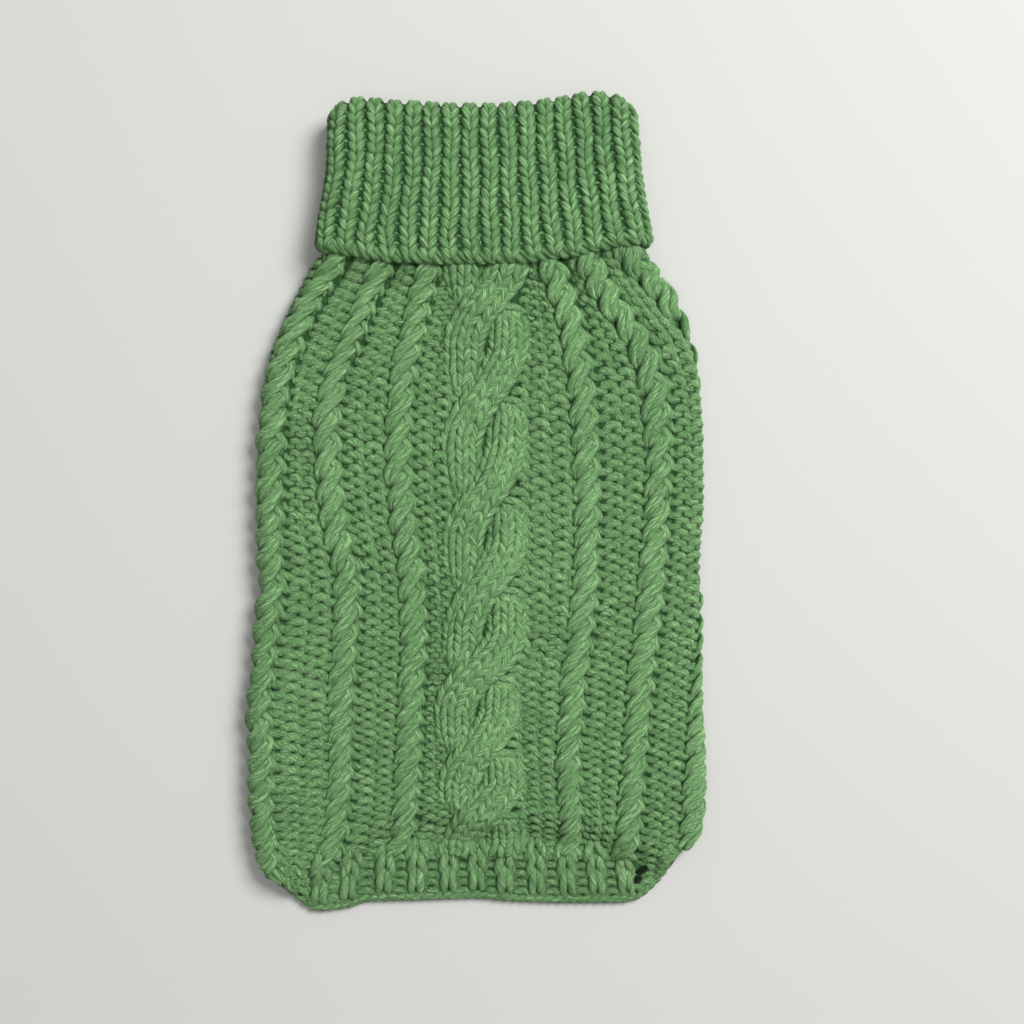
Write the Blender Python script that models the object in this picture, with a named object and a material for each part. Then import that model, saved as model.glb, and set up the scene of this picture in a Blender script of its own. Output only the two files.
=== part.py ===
"""Cable knit dog sweater, laid flat with its back up.

Frame: +Z up, the floor is z = 0, +Y runs from the tail to the neck, +X is the
garment's right side as it lies. The origin is the middle of the plan box.
All named sizes below are millimetres; meshes are made in metres.

Every piece is a knitted wall. A wall is worked out as a grid of points on its
middle line, each with a normal in its own section, and then given its
thickness along that normal. Neighbouring pieces read the same functions, so
they keep the same line and stay SEAM apart.
"""
import math
from collections import namedtuple

import bpy
import bmesh

MM = 0.001

# ------------------------------------------------------------------ sizes
WALL = 3.8            # thickness of the knitted fabric
HALF = WALL / 2
SEAM = 0.3            # gap between pieces that meet
FOLD_FLAT = 2.3       # mid-line radius of a pressed side fold (neck, collar)
FOLD_BODY = 2.9       # mid-line radius of the plump side folds of the body
WRAP = 12.0           # how far the back panel runs round to the underside
COLLAR_LAP = 10.0     # the turned collar covers the neck seam by this much
COLLAR_OUT = FOLD_FLAT + WALL + SEAM   # mid-line radius of the collar's outer layer
NECK_LIFT = WALL + SEAM                # the neck lies on the collar's lower outer layer
LIFT_RUN = 11.0       # length of the slope where the body climbs onto the collar
DROP_RUN = 14.0       # length of the slope where the tail drops to the floor
SLACK = 0.9           # loft of the back over the belly, where it isn't creased
HEM_RIB = 18.7        # depth of the back's ribbed hem
HEM_TOP = -141.0      # where the back's purl ground ends and its rib begins
HEM_LEFT, HEM_RIGHT = -60.0, 64.0      # ends of the back's rib
BELLY_RIB = 12.0      # depth of the belly's ribbed hem
ARCH_TOP = -120.0     # middle of the belly's arched hem
LEG_X, LEG_Y = 43.0, 41.0              # leg openings: from the middle line, and along
LEG_OPEN = (17.0, 23.0)                # half width and half height of the opening
LEG_BAND = 9.0        # width of the ribbed band round it
CENTRE_Y = 1.22       # brings the middle of the plan box to the origin

# ------------------------------------------------------------------ tables
# Outline of the body in plan: the outer edge of each side fold.
Side = namedtuple("Side", "y left right")
BODY = [
    Side(110.0, -58.7, 65.1),
    Side(106.0, -59.1, 65.8),
    Side(102.4, -59.4, 66.3),
    Side(99.4, -59.8, 67.6),
    Side(96.2, -63.0, 69.6),
    Side(91.0, -67.2, 72.8),
    Side(85.0, -70.4, 76.4),
    Side(78.0, -74.0, 79.8),
    Side(70.0, -77.6, 83.4),
    Side(57.0, -82.6, 87.6),
    Side(41.0, -85.6, 89.6),
    Side(21.0, -87.2, 90.6),
    Side(1.0, -87.6, 90.8),
    Side(-15.0, -87.5, 89.8),
    Side(-25.0, -86.9, 89.2),
    Side(-33.0, -85.4, 89.5),
    Side(-41.0, -87.0, 89.7),
    Side(-50.0, -88.2, 89.6),
    Side(-71.0, -89.6, 89.0),
    Side(-83.0, -91.2, 89.2),
    Side(-101.0, -90.5, 90.4),
    Side(-114.6, -90.2, 91.2),
    Side(-125.0, -89.9, 90.0),
    Side(-133.8, -88.5, 88.2),
    Side(-138.0, -87.6, 84.8),
    Side(-142.6, -86.4, 84.8),
    Side(-149.2, -83.4, 84.8),
]
END_LEFT, END_RIGHT = -149.2, -138.0   # where the side folds stop at the tail

# Outline of the turned collar in plan.
COLLAR = [
    Side(160.0, -58.6, 63.2),
    Side(157.0, -58.8, 63.6),
    Side(133.0, -59.6, 65.5),
    Side(113.0, -62.6, 68.6),
    Side(104.0, -64.0, 70.2),
    Side(99.0, -63.8, 70.8),
]

# The collar's bottom edge and top fold, read across from its left side (0)
# to its right side (1).
Edge = namedtuple("Edge", "across bottom top")
COLLAR_EDGE = [
    Edge(0.00, 100.4, 158.4),
    Edge(0.05, 99.2, 159.2),
    Edge(0.18, 96.8, 158.2),
    Edge(0.45, 95.8, 156.8),
    Edge(0.62, 96.4, 157.2),
    Edge(0.78, 98.4, 159.2),
    Edge(0.93, 102.0, 161.4),
    Edge(1.00, 103.4, 160.4),
]

# The tail edge in plan, from the left notch round to the right one.
Tail = namedtuple("Tail", "x y")
TAIL = [
    Tail(-84.0, -149.2),
    Tail(-80.4, -150.6),
    Tail(-76.0, -155.2),
    Tail(-72.0, -158.2),
    Tail(-68.0, -161.4),
    Tail(-63.2, -163.8),
    Tail(-58.0, -163.4),
    Tail(-50.4, -162.2),
    Tail(-44.0, -160.0),
    Tail(-25.2, -159.5),
    Tail(1.6, -158.7),
    Tail(12.0, -159.7),
    Tail(36.4, -160.5),
    Tail(58.0, -160.4),
    Tail(64.0, -159.2),
    Tail(69.6, -155.0),
    Tail(74.0, -150.2),
    Tail(77.6, -145.0),
    Tail(80.8, -139.6),
    Tail(84.8, -138.0),
]

# Soft ridges (+) and troughs (-) in the back, as it lies: where the middle
# is, the way it runs (degrees from +X), its length, width and height.
Fold = namedtuple("Fold", "x y way length width height")
FOLDS = [
    Fold(-66.0, -31.0, -6.0, 30.0, 7.0, -0.8),    # crease in from the left edge
    Fold(-60.0, -20.0, 2.0, 34.0, 12.0, 0.8),     # swell above that crease
    Fold(-62.0, -44.0, -8.0, 30.0, 12.0, 0.7),    # and below it
    Fold(-40.0, 74.0, 66.0, 30.0, 9.0, 1.1),      # gathers fanning from the neck
    Fold(-20.0, 78.0, 80.0, 30.0, 8.0, 1.0),
    Fold(4.0, 76.0, 88.0, 28.0, 12.0, 1.3),
    Fold(30.0, 78.0, 102.0, 32.0, 9.0, 1.0),
    Fold(52.0, 72.0, 118.0, 30.0, 9.0, 1.1),
    Fold(0.0, -60.0, 84.0, 80.0, 22.0, 0.6),      # loft under the wide cable
    Fold(62.0, -20.0, 90.0, 90.0, 16.0, 0.5),
    Fold(-8.0, -46.0, 70.0, 34.0, 6.0, -0.6),     # deep recess beside the cable
    Fold(56.0, -96.0, 84.0, 40.0, 12.0, 0.5),
]


# ------------------------------------------------------------------ helpers
def smooth(t):
    t = min(1.0, max(0.0, t))
    return t * t * (3 - 2 * t)


def read(table, key, value, x):
    """Value of one named column at x, by a cubic with no overshoot."""
    rows = sorted(table, key=lambda r: getattr(r, key))
    xs = [getattr(r, key) for r in rows]
    ys = [getattr(r, value) for r in rows]
    if x <= xs[0]:
        return ys[0]
    if x >= xs[-1]:
        return ys[-1]
    slope = [(ys[i + 1] - ys[i]) / (xs[i + 1] - xs[i]) for i in range(len(xs) - 1)]
    grade = [slope[0]]
    for a, b in zip(slope, slope[1:]):
        grade.append(0.0 if a * b <= 0 else 2 * a * b / (a + b))
    grade.append(slope[-1])
    for i in range(len(xs) - 1):
        if x <= xs[i + 1]:
            h = xs[i + 1] - xs[i]
            t = (x - xs[i]) / h
            return ((1 + 2 * t) * (1 - t) ** 2 * ys[i] + t * (1 - t) ** 2 * h * grade[i]
                    + t * t * (3 - 2 * t) * ys[i + 1] + t * t * (t - 1) * h * grade[i + 1])
    return ys[-1]


def mix(a, b, t):
    return a + (b - a) * t


# ------------------------------------------------------------------ the lay of the cloth
def collar_side(y):
    return read(COLLAR, "y", "left", y), read(COLLAR, "y", "right", y)


def collar_bottom(x):
    left, right = collar_side(100.0)
    return read(COLLAR_EDGE, "across", "bottom", (x - left) / (right - left))


def neck_seam(x):
    return collar_bottom(x) + COLLAR_LAP


def neck_lift(x, y):
    """How far the cloth is lifted where it climbs onto the collar's lower layer."""
    top = collar_bottom(x) - 1.8
    return NECK_LIFT * smooth((y - (top - LIFT_RUN)) / LIFT_RUN)


def arch(x):
    """The belly's hem, an arch that is lowest at the side seams."""
    if x < 0:
        return ARCH_TOP - 29.0 * min(1.0, -x / 76.0) ** 2.2
    return ARCH_TOP - 17.6 * min(1.0, x / 76.0) ** 2.2


def fold_radius(y):
    """Mid-line radius of the side fold: pressed at the neck, plump below it."""
    return mix(FOLD_BODY, FOLD_FLAT, smooth((y - 78.0) / 14.0))


def crease(x, y):
    total = 0.0
    for f in FOLDS:
        a = math.radians(f.way)
        dx, dy = x - f.x, y - f.y
        along = (dx * math.cos(a) + dy * math.sin(a)) / (f.length / 2)
        across = (-dx * math.sin(a) + dy * math.cos(a)) / (f.width / 2)
        total += f.height * math.exp(-(along ** 4) - across ** 2)
    return total


def back_top(x, y, left, right):
    """Mid-line height of the upper layer of the back at x, y.

    left and right are the tops of the side folds, where the height is that of
    the fold; between them the cloth settles onto the belly.
    """
    r = fold_radius(y)
    lift = neck_lift(x, y)
    edge = math.exp(-((x - left) / 13.0) ** 2) + math.exp(-((right - x) / 13.0) ** 2)
    inside = min(1.0, max(0.0, (x - left) / 10.0)) * min(1.0, max(0.0, (right - x) / 10.0))
    under_collar = 1.0 - smooth((y - (collar_bottom(x) - 14.0)) / 13.0)
    flat = HALF + 2 * FOLD_FLAT + 2 * (r - FOLD_FLAT) * min(1.0, edge)
    loft = (SLACK + crease(x, y)) * smooth(inside) * under_collar
    high = flat + lift + loft
    drop = smooth((arch(x) - 0.6 - y) / DROP_RUN)
    return mix(high, HALF, drop)


# ------------------------------------------------------------------ walls
def wall(name, grid, keep, material, closed=False):
    """A closed wall from a grid of (point, normal) and a rule for its cells."""
    rows, cols = len(grid), len(grid[0])
    span = cols if closed else cols - 1
    cells = [(r, c) for r in range(rows - 1) for c in range(span) if keep(r, c)]
    mesh = bmesh.new()
    made = {}

    def vert(r, c, side):
        c %= cols
        if (r, c, side) not in made:
            p, n = grid[r][c]
            made[r, c, side] = mesh.verts.new([(a + side * HALF * b) * MM for a, b in zip(p, n)])
        return made[r, c, side]

    edges = {}
    for r, c in cells:
        ring = [(r, c), (r, c + 1), (r + 1, c + 1), (r + 1, c)]
        mesh.faces.new([vert(a, b, 1) for a, b in ring])
        mesh.faces.new([vert(a, b, -1) for a, b in reversed(ring)])
        for i in range(4):
            (a, b), (d, e) = ring[i], ring[(i + 1) % 4]
            key = frozenset(((a, b % cols), (d, e % cols)))
            edges.setdefault(key, []).append(((a, b), (d, e)))
    for found in edges.values():
        if len(found) == 1:
            (a, b), (d, e) = found[0]
            mesh.faces.new([vert(a, b, -1), vert(d, e, -1), vert(d, e, 1), vert(a, b, 1)])
    bmesh.ops.recalc_face_normals(mesh, faces=mesh.faces)
    data = bpy.data.meshes.new(name)
    mesh.to_mesh(data)
    mesh.free()
    thing = bpy.data.objects.new(name, data)
    bpy.context.scene.collection.objects.link(thing)
    thing.parent = HOLDER
    data.materials.append(material)
    data.shade_smooth()
    data.set_sharp_from_angle(angle=math.radians(50))
    return thing


def yarn_material(name, colour):
    mat = bpy.data.materials.new(name)
    mat.use_nodes = True
    shader = mat.node_tree.nodes["Principled BSDF"]
    shader.inputs["Base Color"].default_value = (*colour, 1.0)
    shader.inputs["Roughness"].default_value = 0.9
    shader.inputs["Metallic"].default_value = 0.0
    mat.diffuse_color = (*colour, 1.0)
    return mat


# ------------------------------------------------------------------ back panel
CORNER_LEFT = [0.0, 0.045, 0.085, None]      # None: exactly at the rib's end
CORNER_RIGHT = [None, 0.93, 0.965, 1.0]
MIDDLE = 17                                  # cells across the rib
ARC = 5                                      # cells round a side fold
UNDER = 2                                    # cells across a wrapped margin
LAP_ROWS, NECK_ROWS, BODY_ROWS, TAIL_ROWS, CORNER_ROWS = 1, 4, 16, 5, 3


def fold_ends(y):
    """x of the straight top's ends, and the fold radius, at y."""
    r = fold_radius(y)
    left = read(BODY, "y", "left", max(y, END_LEFT))
    right = read(BODY, "y", "right", max(y, END_RIGHT))
    c_left, c_right = collar_side(y)
    if y > COLLAR_EDGE[0].bottom - 2.4:         # inside the collar's outer layer
        left = max(left, c_left + WALL + 1.8 * SEAM)
    if y > COLLAR_EDGE[-1].bottom - 2.9:
        right = min(right, c_right - WALL - 1.8 * SEAM)
    return left + HALF + r, right - HALF - r, r


def rib_fractions():
    left, right = fold_ends(END_LEFT)[0], fold_ends(END_RIGHT)[1]
    return ((HEM_LEFT - SEAM - left) / (right - left),
            (HEM_RIGHT + SEAM - left) / (right - left))


def top_fractions():
    a, b = rib_fractions()
    middle = [mix(a, b, i / MIDDLE) for i in range(1, MIDDLE)]
    return CORNER_LEFT[:-1] + [a] + middle + [b] + CORNER_RIGHT[1:]


def top_x(f, y, left, right):
    """x of a top column at y; near the tail the columns run straight to the rib."""
    a, b = rib_fractions()
    w = smooth((-118.0 - y) / 14.0)
    xa = mix(mix(left, right, a), HEM_LEFT - SEAM, w)
    xb = mix(mix(left, right, b), HEM_RIGHT + SEAM, w)
    if f <= a:
        return mix(left, xa, f / a)
    if f >= b:
        return mix(xb, right, (f - b) / (1 - b))
    return mix(xa, xb, (f - a) / (b - a))


def back_columns():
    cols = [("under_left", i / UNDER) for i in range(UNDER)]
    cols += [("fold_left", i / ARC) for i in range(ARC)]
    cols += [("top", f) for f in top_fractions()]
    cols += [("fold_right", i / ARC) for i in range(1, ARC + 1)]
    cols += [("under_right", i / UNDER) for i in range(1, UNDER + 1)]
    return cols


def body_section(kind, f, y):
    """Point and normal of the back's middle line, in the section at y."""
    left, right, r = fold_ends(y)
    if kind == "top":
        x = top_x(f, y, left, right)
        return (x, y, back_top(x, y, left, right)), (0, 0, 1)
    if kind.endswith("left"):
        low = HALF + neck_lift(left, y)
        if kind == "under_left":
            return (mix(left - HALF - r + WRAP, left, f), y, low), (0, 0, -1)
        a = math.radians(mix(270, 90, f))
        return ((left + r * math.cos(a), y, low + r + r * math.sin(a)),
                (math.cos(a), 0, math.sin(a)))
    low = HALF + neck_lift(right, y)
    if kind == "under_right":
        return (mix(right, right + HALF + r - WRAP, f), y, low), (0, 0, -1)
    a = math.radians(mix(90, -90, f))
    return ((right + r * math.cos(a), y, low + r + r * math.sin(a)),
            (math.cos(a), 0, math.sin(a)))


def hem_top(x):
    """Where the purl ground ends: level over the rib, rising at the right corner."""
    return mix(HEM_TOP, -131.0, smooth((x - HEM_RIGHT) / 16.0))


def column_ys(kind, f):
    """y of every row of one back column, from the neck seam to the tail edge."""
    g = f if kind == "top" else (0.0 if kind.endswith("left") else 1.0)
    l0, r0, _ = fold_ends(104.0)
    l1, r1 = fold_ends(END_LEFT)[0], fold_ends(END_RIGHT)[1]
    x_low = mix(l1, r1, g)
    if kind != "top":
        last = END_LEFT if g == 0.0 else END_RIGHT
    else:
        last = read(TAIL, "x", "y", x_low)
    x_neck = mix(l0, r0, g)
    if kind == "under_left":
        x_neck = mix(l0 - HALF - FOLD_FLAT + WRAP, l0, f)
    elif kind == "under_right":
        x_neck = mix(r0, r0 + HALF + FOLD_FLAT - WRAP, f)
    lap = collar_bottom(x_neck) - 1.0
    if kind.startswith("fold"):
        lap = COLLAR_EDGE[0 if g == 0.0 else -1].bottom - 0.8
    stops = [neck_seam(x_neck) - SEAM, lap, 84.0, -112.0, hem_top(x_low), last]
    cells = [LAP_ROWS, NECK_ROWS, BODY_ROWS, TAIL_ROWS, CORNER_ROWS]
    ys = [stops[0]]
    for n, a, b in zip(cells, stops, stops[1:]):
        ys += [mix(a, b, (i + 1) / n) for i in range(n)]
    return ys


def back_panel(material):
    cols = back_columns()
    columns = [[body_section(kind, f, y) for y in column_ys(kind, f)] for kind, f in cols]
    grid = [[column[r] for column in columns] for r in range(len(columns[0]))]
    first_extra = LAP_ROWS + NECK_ROWS + BODY_ROWS + TAIL_ROWS
    tops = [i for i, c in enumerate(cols) if c[0] == "top"]
    rib_from = tops[len(CORNER_LEFT) - 1]
    rib_to = tops[-len(CORNER_RIGHT)]

    def keep(r, c):
        return r < first_extra or c < rib_from or c >= rib_to

    return wall("back_panel", grid, keep, material)


def back_hem_rib(material):
    cols, rows = 18, 3
    left, right = fold_ends(END_LEFT)[0], fold_ends(END_RIGHT)[1]
    grid = []
    for r in range(rows + 1):
        row = []
        for c in range(cols + 1):
            x = mix(HEM_LEFT, HEM_RIGHT, c / cols)
            hem = hem_top(x)
            y = mix(hem - SEAM, read(TAIL, "x", "y", x), r / rows)
            row.append(((x, y, back_top(x, y, left, right)), (0, 0, 1)))
        grid.append(row)
    return wall("back_hem_rib", grid, lambda r, c: True, material)


# ------------------------------------------------------------------ belly
def belly_side(y):
    """x of the belly's two side seams, straight between the back's own rows."""
    sides = []
    for kind, f, side in (("under_left", 0.0, 0), ("under_right", 1.0, 1)):
        ys = column_ys(kind, f)
        y0 = min(ys[0], max(ys[-1], y))
        for a, b in zip(ys, ys[1:]):
            if b <= y0 <= a:
                xa, xb = seam_x(side, a), seam_x(side, b)
                sides.append(mix(xa, xb, (a - y0) / (a - b)))
                break
    return sides[0], sides[1]


def seam_x(side, y):
    left, right, r = fold_ends(y)
    if side == 0:
        return left - HALF - r + WRAP + SEAM
    return right + HALF + r - WRAP - SEAM


def belly_point(x, y):
    return (x, y, HALF + neck_lift(x, y)), (0, 0, -1)


def ellipse_tool(name, x, y, rx, ry):
    """A guide body that cuts a leg opening; it is not part of the sweater."""
    mesh = bmesh.new()
    ring = [(x + rx * math.cos(2 * math.pi * i / 32), y + ry * math.sin(2 * math.pi * i / 32))
            for i in range(32)]
    low = [mesh.verts.new((a * MM, b * MM, -5 * MM)) for a, b in ring]
    high = [mesh.verts.new((a * MM, b * MM, 12 * MM)) for a, b in ring]
    mesh.faces.new(list(reversed(low)))
    mesh.faces.new(high)
    for i in range(32):
        j = (i + 1) % 32
        mesh.faces.new([low[i], low[j], high[j], high[i]])
    bmesh.ops.recalc_face_normals(mesh, faces=mesh.faces)
    data = bpy.data.meshes.new(name)
    mesh.to_mesh(data)
    mesh.free()
    tool = bpy.data.objects.new(name, data)
    bpy.context.scene.collection.objects.link(tool)
    tool.parent = HOLDER
    tool.hide_render = True
    tool.display_type = "WIRE"
    return tool


def leg_middle(side):
    left, right = belly_side(LEG_Y)
    return (left + right) / 2 + side * LEG_X, LEG_Y


def belly_panel(material):
    cols = 12
    bend = LAP_ROWS + NECK_ROWS + 9       # below this row the rows follow the arch
    left_ys, right_ys = column_ys("under_left", 0.0), column_ys("under_right", 1.0)
    x_left, x_right = belly_side(END_RIGHT)
    end_left, end_right = arch(x_left) + BELLY_RIB + SEAM, arch(x_right) + BELLY_RIB + SEAM
    rows = [r for r in range(len(left_ys))
            if left_ys[r] > end_left + 2 and right_ys[r] > end_right + 2]
    grid = []
    for r in rows + [None]:
        row = []
        for c in range(cols + 1):
            f = c / cols
            end = arch(mix(x_left, x_right, f)) + BELLY_RIB + SEAM
            if r is None:
                y = end
            elif r <= LAP_ROWS:
                # the two rows under the collar follow its bottom edge
                x_a, x_b = belly_side(100.0)
                dip = (collar_bottom(mix(x_a, x_b, f))
                       - mix(collar_bottom(x_a), collar_bottom(x_b), f))
                y = mix(left_ys[r], right_ys[r], f) + dip
            elif r <= bend:
                y = mix(left_ys[r], right_ys[r], f)
            else:
                start = left_ys[bend]
                tl = (left_ys[r] - start) / (end_left - start)
                tr = (right_ys[r] - start) / (end_right - start)
                y = mix(start, end, mix(tl, tr, f))
            row.append(belly_point(mix(*belly_side(y), f), y))
        grid.append(row)
    thing = wall("belly_panel", grid, lambda r, c: True, material)
    for side, label in ((-1, "left"), (1, "right")):
        x, y = leg_middle(side)
        tool = ellipse_tool("leg_cut_" + label, x, y,
                            LEG_OPEN[0] + LEG_BAND + SEAM, LEG_OPEN[1] + LEG_BAND + SEAM)
        cut = thing.modifiers.new("leg_" + label, "BOOLEAN")
        cut.operation = "DIFFERENCE"
        cut.object = tool
    return thing


def belly_hem_rib(material):
    cols, rows = 12, 3
    x_left, x_right = belly_side(END_RIGHT)
    grid = []
    for r in range(rows + 1):
        row = []
        for c in range(cols + 1):
            f = c / cols
            a = arch(mix(x_left, x_right, f))
            y = mix(a + BELLY_RIB, a, r / rows)
            row.append(((mix(*belly_side(y), f), y, HALF), (0, 0, -1)))
        grid.append(row)
    return wall("belly_hem_rib", grid, lambda r, c: True, material)


def leg_band(label, side, material):
    """A flat ribbed ring set into the belly, round one leg opening."""
    around = 32
    x0, y0 = leg_middle(side)
    grid = []
    for step in (0.0, 0.5, 1.0):
        row = []
        for i in range(around):
            a = 2 * math.pi * i / around
            rx = LEG_OPEN[0] + LEG_BAND * step
            ry = LEG_OPEN[1] + LEG_BAND * step
            row.append(((x0 + rx * math.cos(a), y0 + ry * math.sin(a), HALF), (0, 0, -1)))
        grid.append(row)
    return wall("leg_band_" + label, grid, lambda r, c: True, material, closed=True)


# ------------------------------------------------------------------ collar
def collar(material):
    """The turned neck: a double tube with one fold at its top edge."""
    top_cells, end_cells = 11, 5
    inner_cells, fold_cells, outer_cells = 4, 3, 5
    turn = (COLLAR_OUT - FOLD_FLAT) / 2
    middle_z = HALF + COLLAR_OUT

    around = [(mix(0, 1, i / top_cells), 90.0) for i in range(top_cells)]
    around += [(1.0, mix(90, -90, i / end_cells)) for i in range(end_cells)]
    around += [(mix(1, 0, i / top_cells), -90.0) for i in range(top_cells)]
    around += [(0.0, mix(270, 90, i / end_cells)) for i in range(end_cells)]

    profile = [("inner", i / inner_cells) for i in range(inner_cells)]
    profile += [("fold", i / fold_cells) for i in range(fold_cells)]
    profile += [("outer", i / outer_cells) for i in range(outer_cells + 1)]

    grid = []
    for part, f in profile:
        row = []
        for across, angle in around:
            top = read(COLLAR_EDGE, "across", "top", across) - HALF - turn
            low = read(COLLAR_EDGE, "across", "bottom", across)
            if part == "inner":
                y, radius, ny, nr = mix(low + COLLAR_LAP, top, f), FOLD_FLAT, 0.0, -1.0
            elif part == "outer":
                y, radius, ny, nr = mix(top, low, f), COLLAR_OUT, 0.0, 1.0
            else:
                p = math.pi * f
                y = top + turn * math.sin(p)
                radius = FOLD_FLAT + turn - turn * math.cos(p)
                ny, nr = math.sin(p), -math.cos(p)
            left, right = collar_side(y)
            left += COLLAR_OUT + HALF
            right -= COLLAR_OUT + HALF
            a = math.radians(angle)
            ca, sa = math.cos(a), math.sin(a)
            row.append(((mix(left, right, across) + radius * ca, y, middle_z + radius * sa),
                        (nr * ca, ny, nr * sa)))
        grid.append(row)
    return wall("collar", grid, lambda r, c: True, material, closed=True)


# ------------------------------------------------------------------ build
for old in list(bpy.data.objects):
    bpy.data.objects.remove(old, do_unlink=True)

HOLDER = bpy.data.objects.new("sweater", None)
bpy.context.scene.collection.objects.link(HOLDER)
HOLDER.location = (0.0, CENTRE_Y * MM, 0.0)

back_panel(yarn_material("back_yarn", (0.085, 0.235, 0.085)))
back_hem_rib(yarn_material("back_rib_yarn", (0.080, 0.225, 0.080)))
belly_panel(yarn_material("belly_yarn", (0.078, 0.215, 0.078)))
belly_hem_rib(yarn_material("belly_rib_yarn", (0.074, 0.205, 0.074)))
leg_band("left", -1, yarn_material("left_band_yarn", (0.070, 0.200, 0.072)))
leg_band("right", 1, yarn_material("right_band_yarn", (0.070, 0.200, 0.070)))
collar(yarn_material("collar_yarn", (0.090, 0.245, 0.090)))
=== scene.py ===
"""Cable knit dog sweater, laid flat: every visible stitch is a length of yarn.

Sizes are millimetres; meshes are made in metres. The fabric's middle surface is
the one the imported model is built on. On it lies a chart of the knitting: wales
run from the neck to the tail along the cables, courses cross them, and each
stitch's yarn path is worked out on the chart and carried to the surface.
"""

import math
from collections import namedtuple

import bmesh
import bpy
import numpy as np
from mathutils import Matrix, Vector


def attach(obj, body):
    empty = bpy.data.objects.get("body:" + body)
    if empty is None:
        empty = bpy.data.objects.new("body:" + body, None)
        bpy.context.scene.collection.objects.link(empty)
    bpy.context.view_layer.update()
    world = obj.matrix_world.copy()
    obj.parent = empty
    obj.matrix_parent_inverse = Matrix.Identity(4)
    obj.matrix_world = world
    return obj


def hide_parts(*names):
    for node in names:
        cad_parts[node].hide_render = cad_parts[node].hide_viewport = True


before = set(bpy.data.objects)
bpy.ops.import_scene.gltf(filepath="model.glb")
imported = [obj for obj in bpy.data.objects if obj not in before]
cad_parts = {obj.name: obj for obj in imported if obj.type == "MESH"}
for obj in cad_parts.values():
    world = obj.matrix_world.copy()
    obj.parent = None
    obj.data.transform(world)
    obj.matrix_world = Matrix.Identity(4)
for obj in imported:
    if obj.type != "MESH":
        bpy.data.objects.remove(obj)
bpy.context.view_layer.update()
MM = 0.001
CENTRE_Y = 1.22              # from the charted y to the shared frame, mm
RNG = np.random.default_rng(11)

# ------------------------------------------------------------------ sizes of the cloth
WALL, SEAM = 3.8, 0.3
HALF = WALL / 2
FOLD_FLAT, FOLD_BODY = 2.3, 2.9
WRAP, COLLAR_LAP = 12.0, 10.0
COLLAR_OUT = FOLD_FLAT + WALL + SEAM
NECK_LIFT, LIFT_RUN, DROP_RUN, SLACK = WALL + SEAM, 11.0, 14.0, 0.9
HEM_TOP, HEM_LEFT, HEM_RIGHT = -141.0, -60.0, 64.0
BELLY_RIB, ARCH_TOP = 12.0, -120.0
LEG_X, LEG_Y, LEG_OPEN, LEG_BAND = 43.0, 41.0, (17.0, 23.0), 9.0
END_LEFT, END_RIGHT = -149.2, -138.0
FLOOR = 0.06                # the lowest yarn rests this far above the floor

Side = namedtuple("Side", "y left right")
BODY = [
    Side(110.0, -58.7, 65.1), Side(106.0, -59.1, 65.8), Side(102.4, -59.4, 66.3),
    Side(99.4, -59.8, 67.6), Side(96.2, -63.0, 69.6), Side(91.0, -67.2, 72.8),
    Side(85.0, -70.4, 76.4), Side(78.0, -74.0, 79.8), Side(70.0, -77.6, 83.4),
    Side(57.0, -82.6, 87.6), Side(41.0, -85.6, 89.6), Side(21.0, -87.2, 90.6),
    Side(1.0, -87.6, 90.8), Side(-15.0, -87.5, 89.8), Side(-25.0, -86.9, 89.2),
    Side(-33.0, -85.4, 89.5), Side(-41.0, -87.0, 89.7), Side(-50.0, -88.2, 89.6),
    Side(-71.0, -89.6, 89.0), Side(-83.0, -91.2, 89.2), Side(-101.0, -90.5, 90.4),
    Side(-114.6, -90.2, 91.2), Side(-125.0, -89.9, 90.0), Side(-133.8, -88.5, 88.2),
    Side(-138.0, -87.6, 84.8), Side(-142.6, -86.4, 84.8), Side(-149.2, -83.4, 84.8),
]
COLLAR = [
    Side(160.0, -58.6, 63.2), Side(157.0, -58.8, 63.6), Side(133.0, -59.6, 65.5),
    Side(113.0, -62.6, 68.6), Side(104.0, -64.0, 70.2), Side(99.0, -63.8, 70.8),
]
Edge = namedtuple("Edge", "across bottom top")
COLLAR_EDGE = [
    Edge(0.00, 100.4, 158.4), Edge(0.05, 99.2, 159.2), Edge(0.18, 96.8, 158.2),
    Edge(0.45, 95.8, 156.8), Edge(0.62, 96.4, 157.2), Edge(0.78, 98.4, 159.2),
    Edge(0.93, 102.0, 161.4), Edge(1.00, 103.4, 160.4),
]
CORNER_DROP = 2.6
Tail = namedtuple("Tail", "x y")
TAIL = [
    Tail(-84.0, -149.2), Tail(-80.4, -150.6), Tail(-76.0, -155.2), Tail(-72.0, -158.2),
    Tail(-68.0, -161.4), Tail(-63.2, -163.8), Tail(-58.0, -163.4), Tail(-50.4, -162.2),
    Tail(-44.0, -160.0), Tail(-25.2, -159.5), Tail(1.6, -158.7), Tail(12.0, -159.7),
    Tail(36.4, -160.5), Tail(58.0, -160.4), Tail(64.0, -159.2), Tail(69.6, -155.0),
    Tail(74.0, -150.2), Tail(77.6, -145.0), Tail(80.8, -139.6), Tail(84.8, -138.0),
]
Fold = namedtuple("Fold", "x y way length width height")
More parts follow.
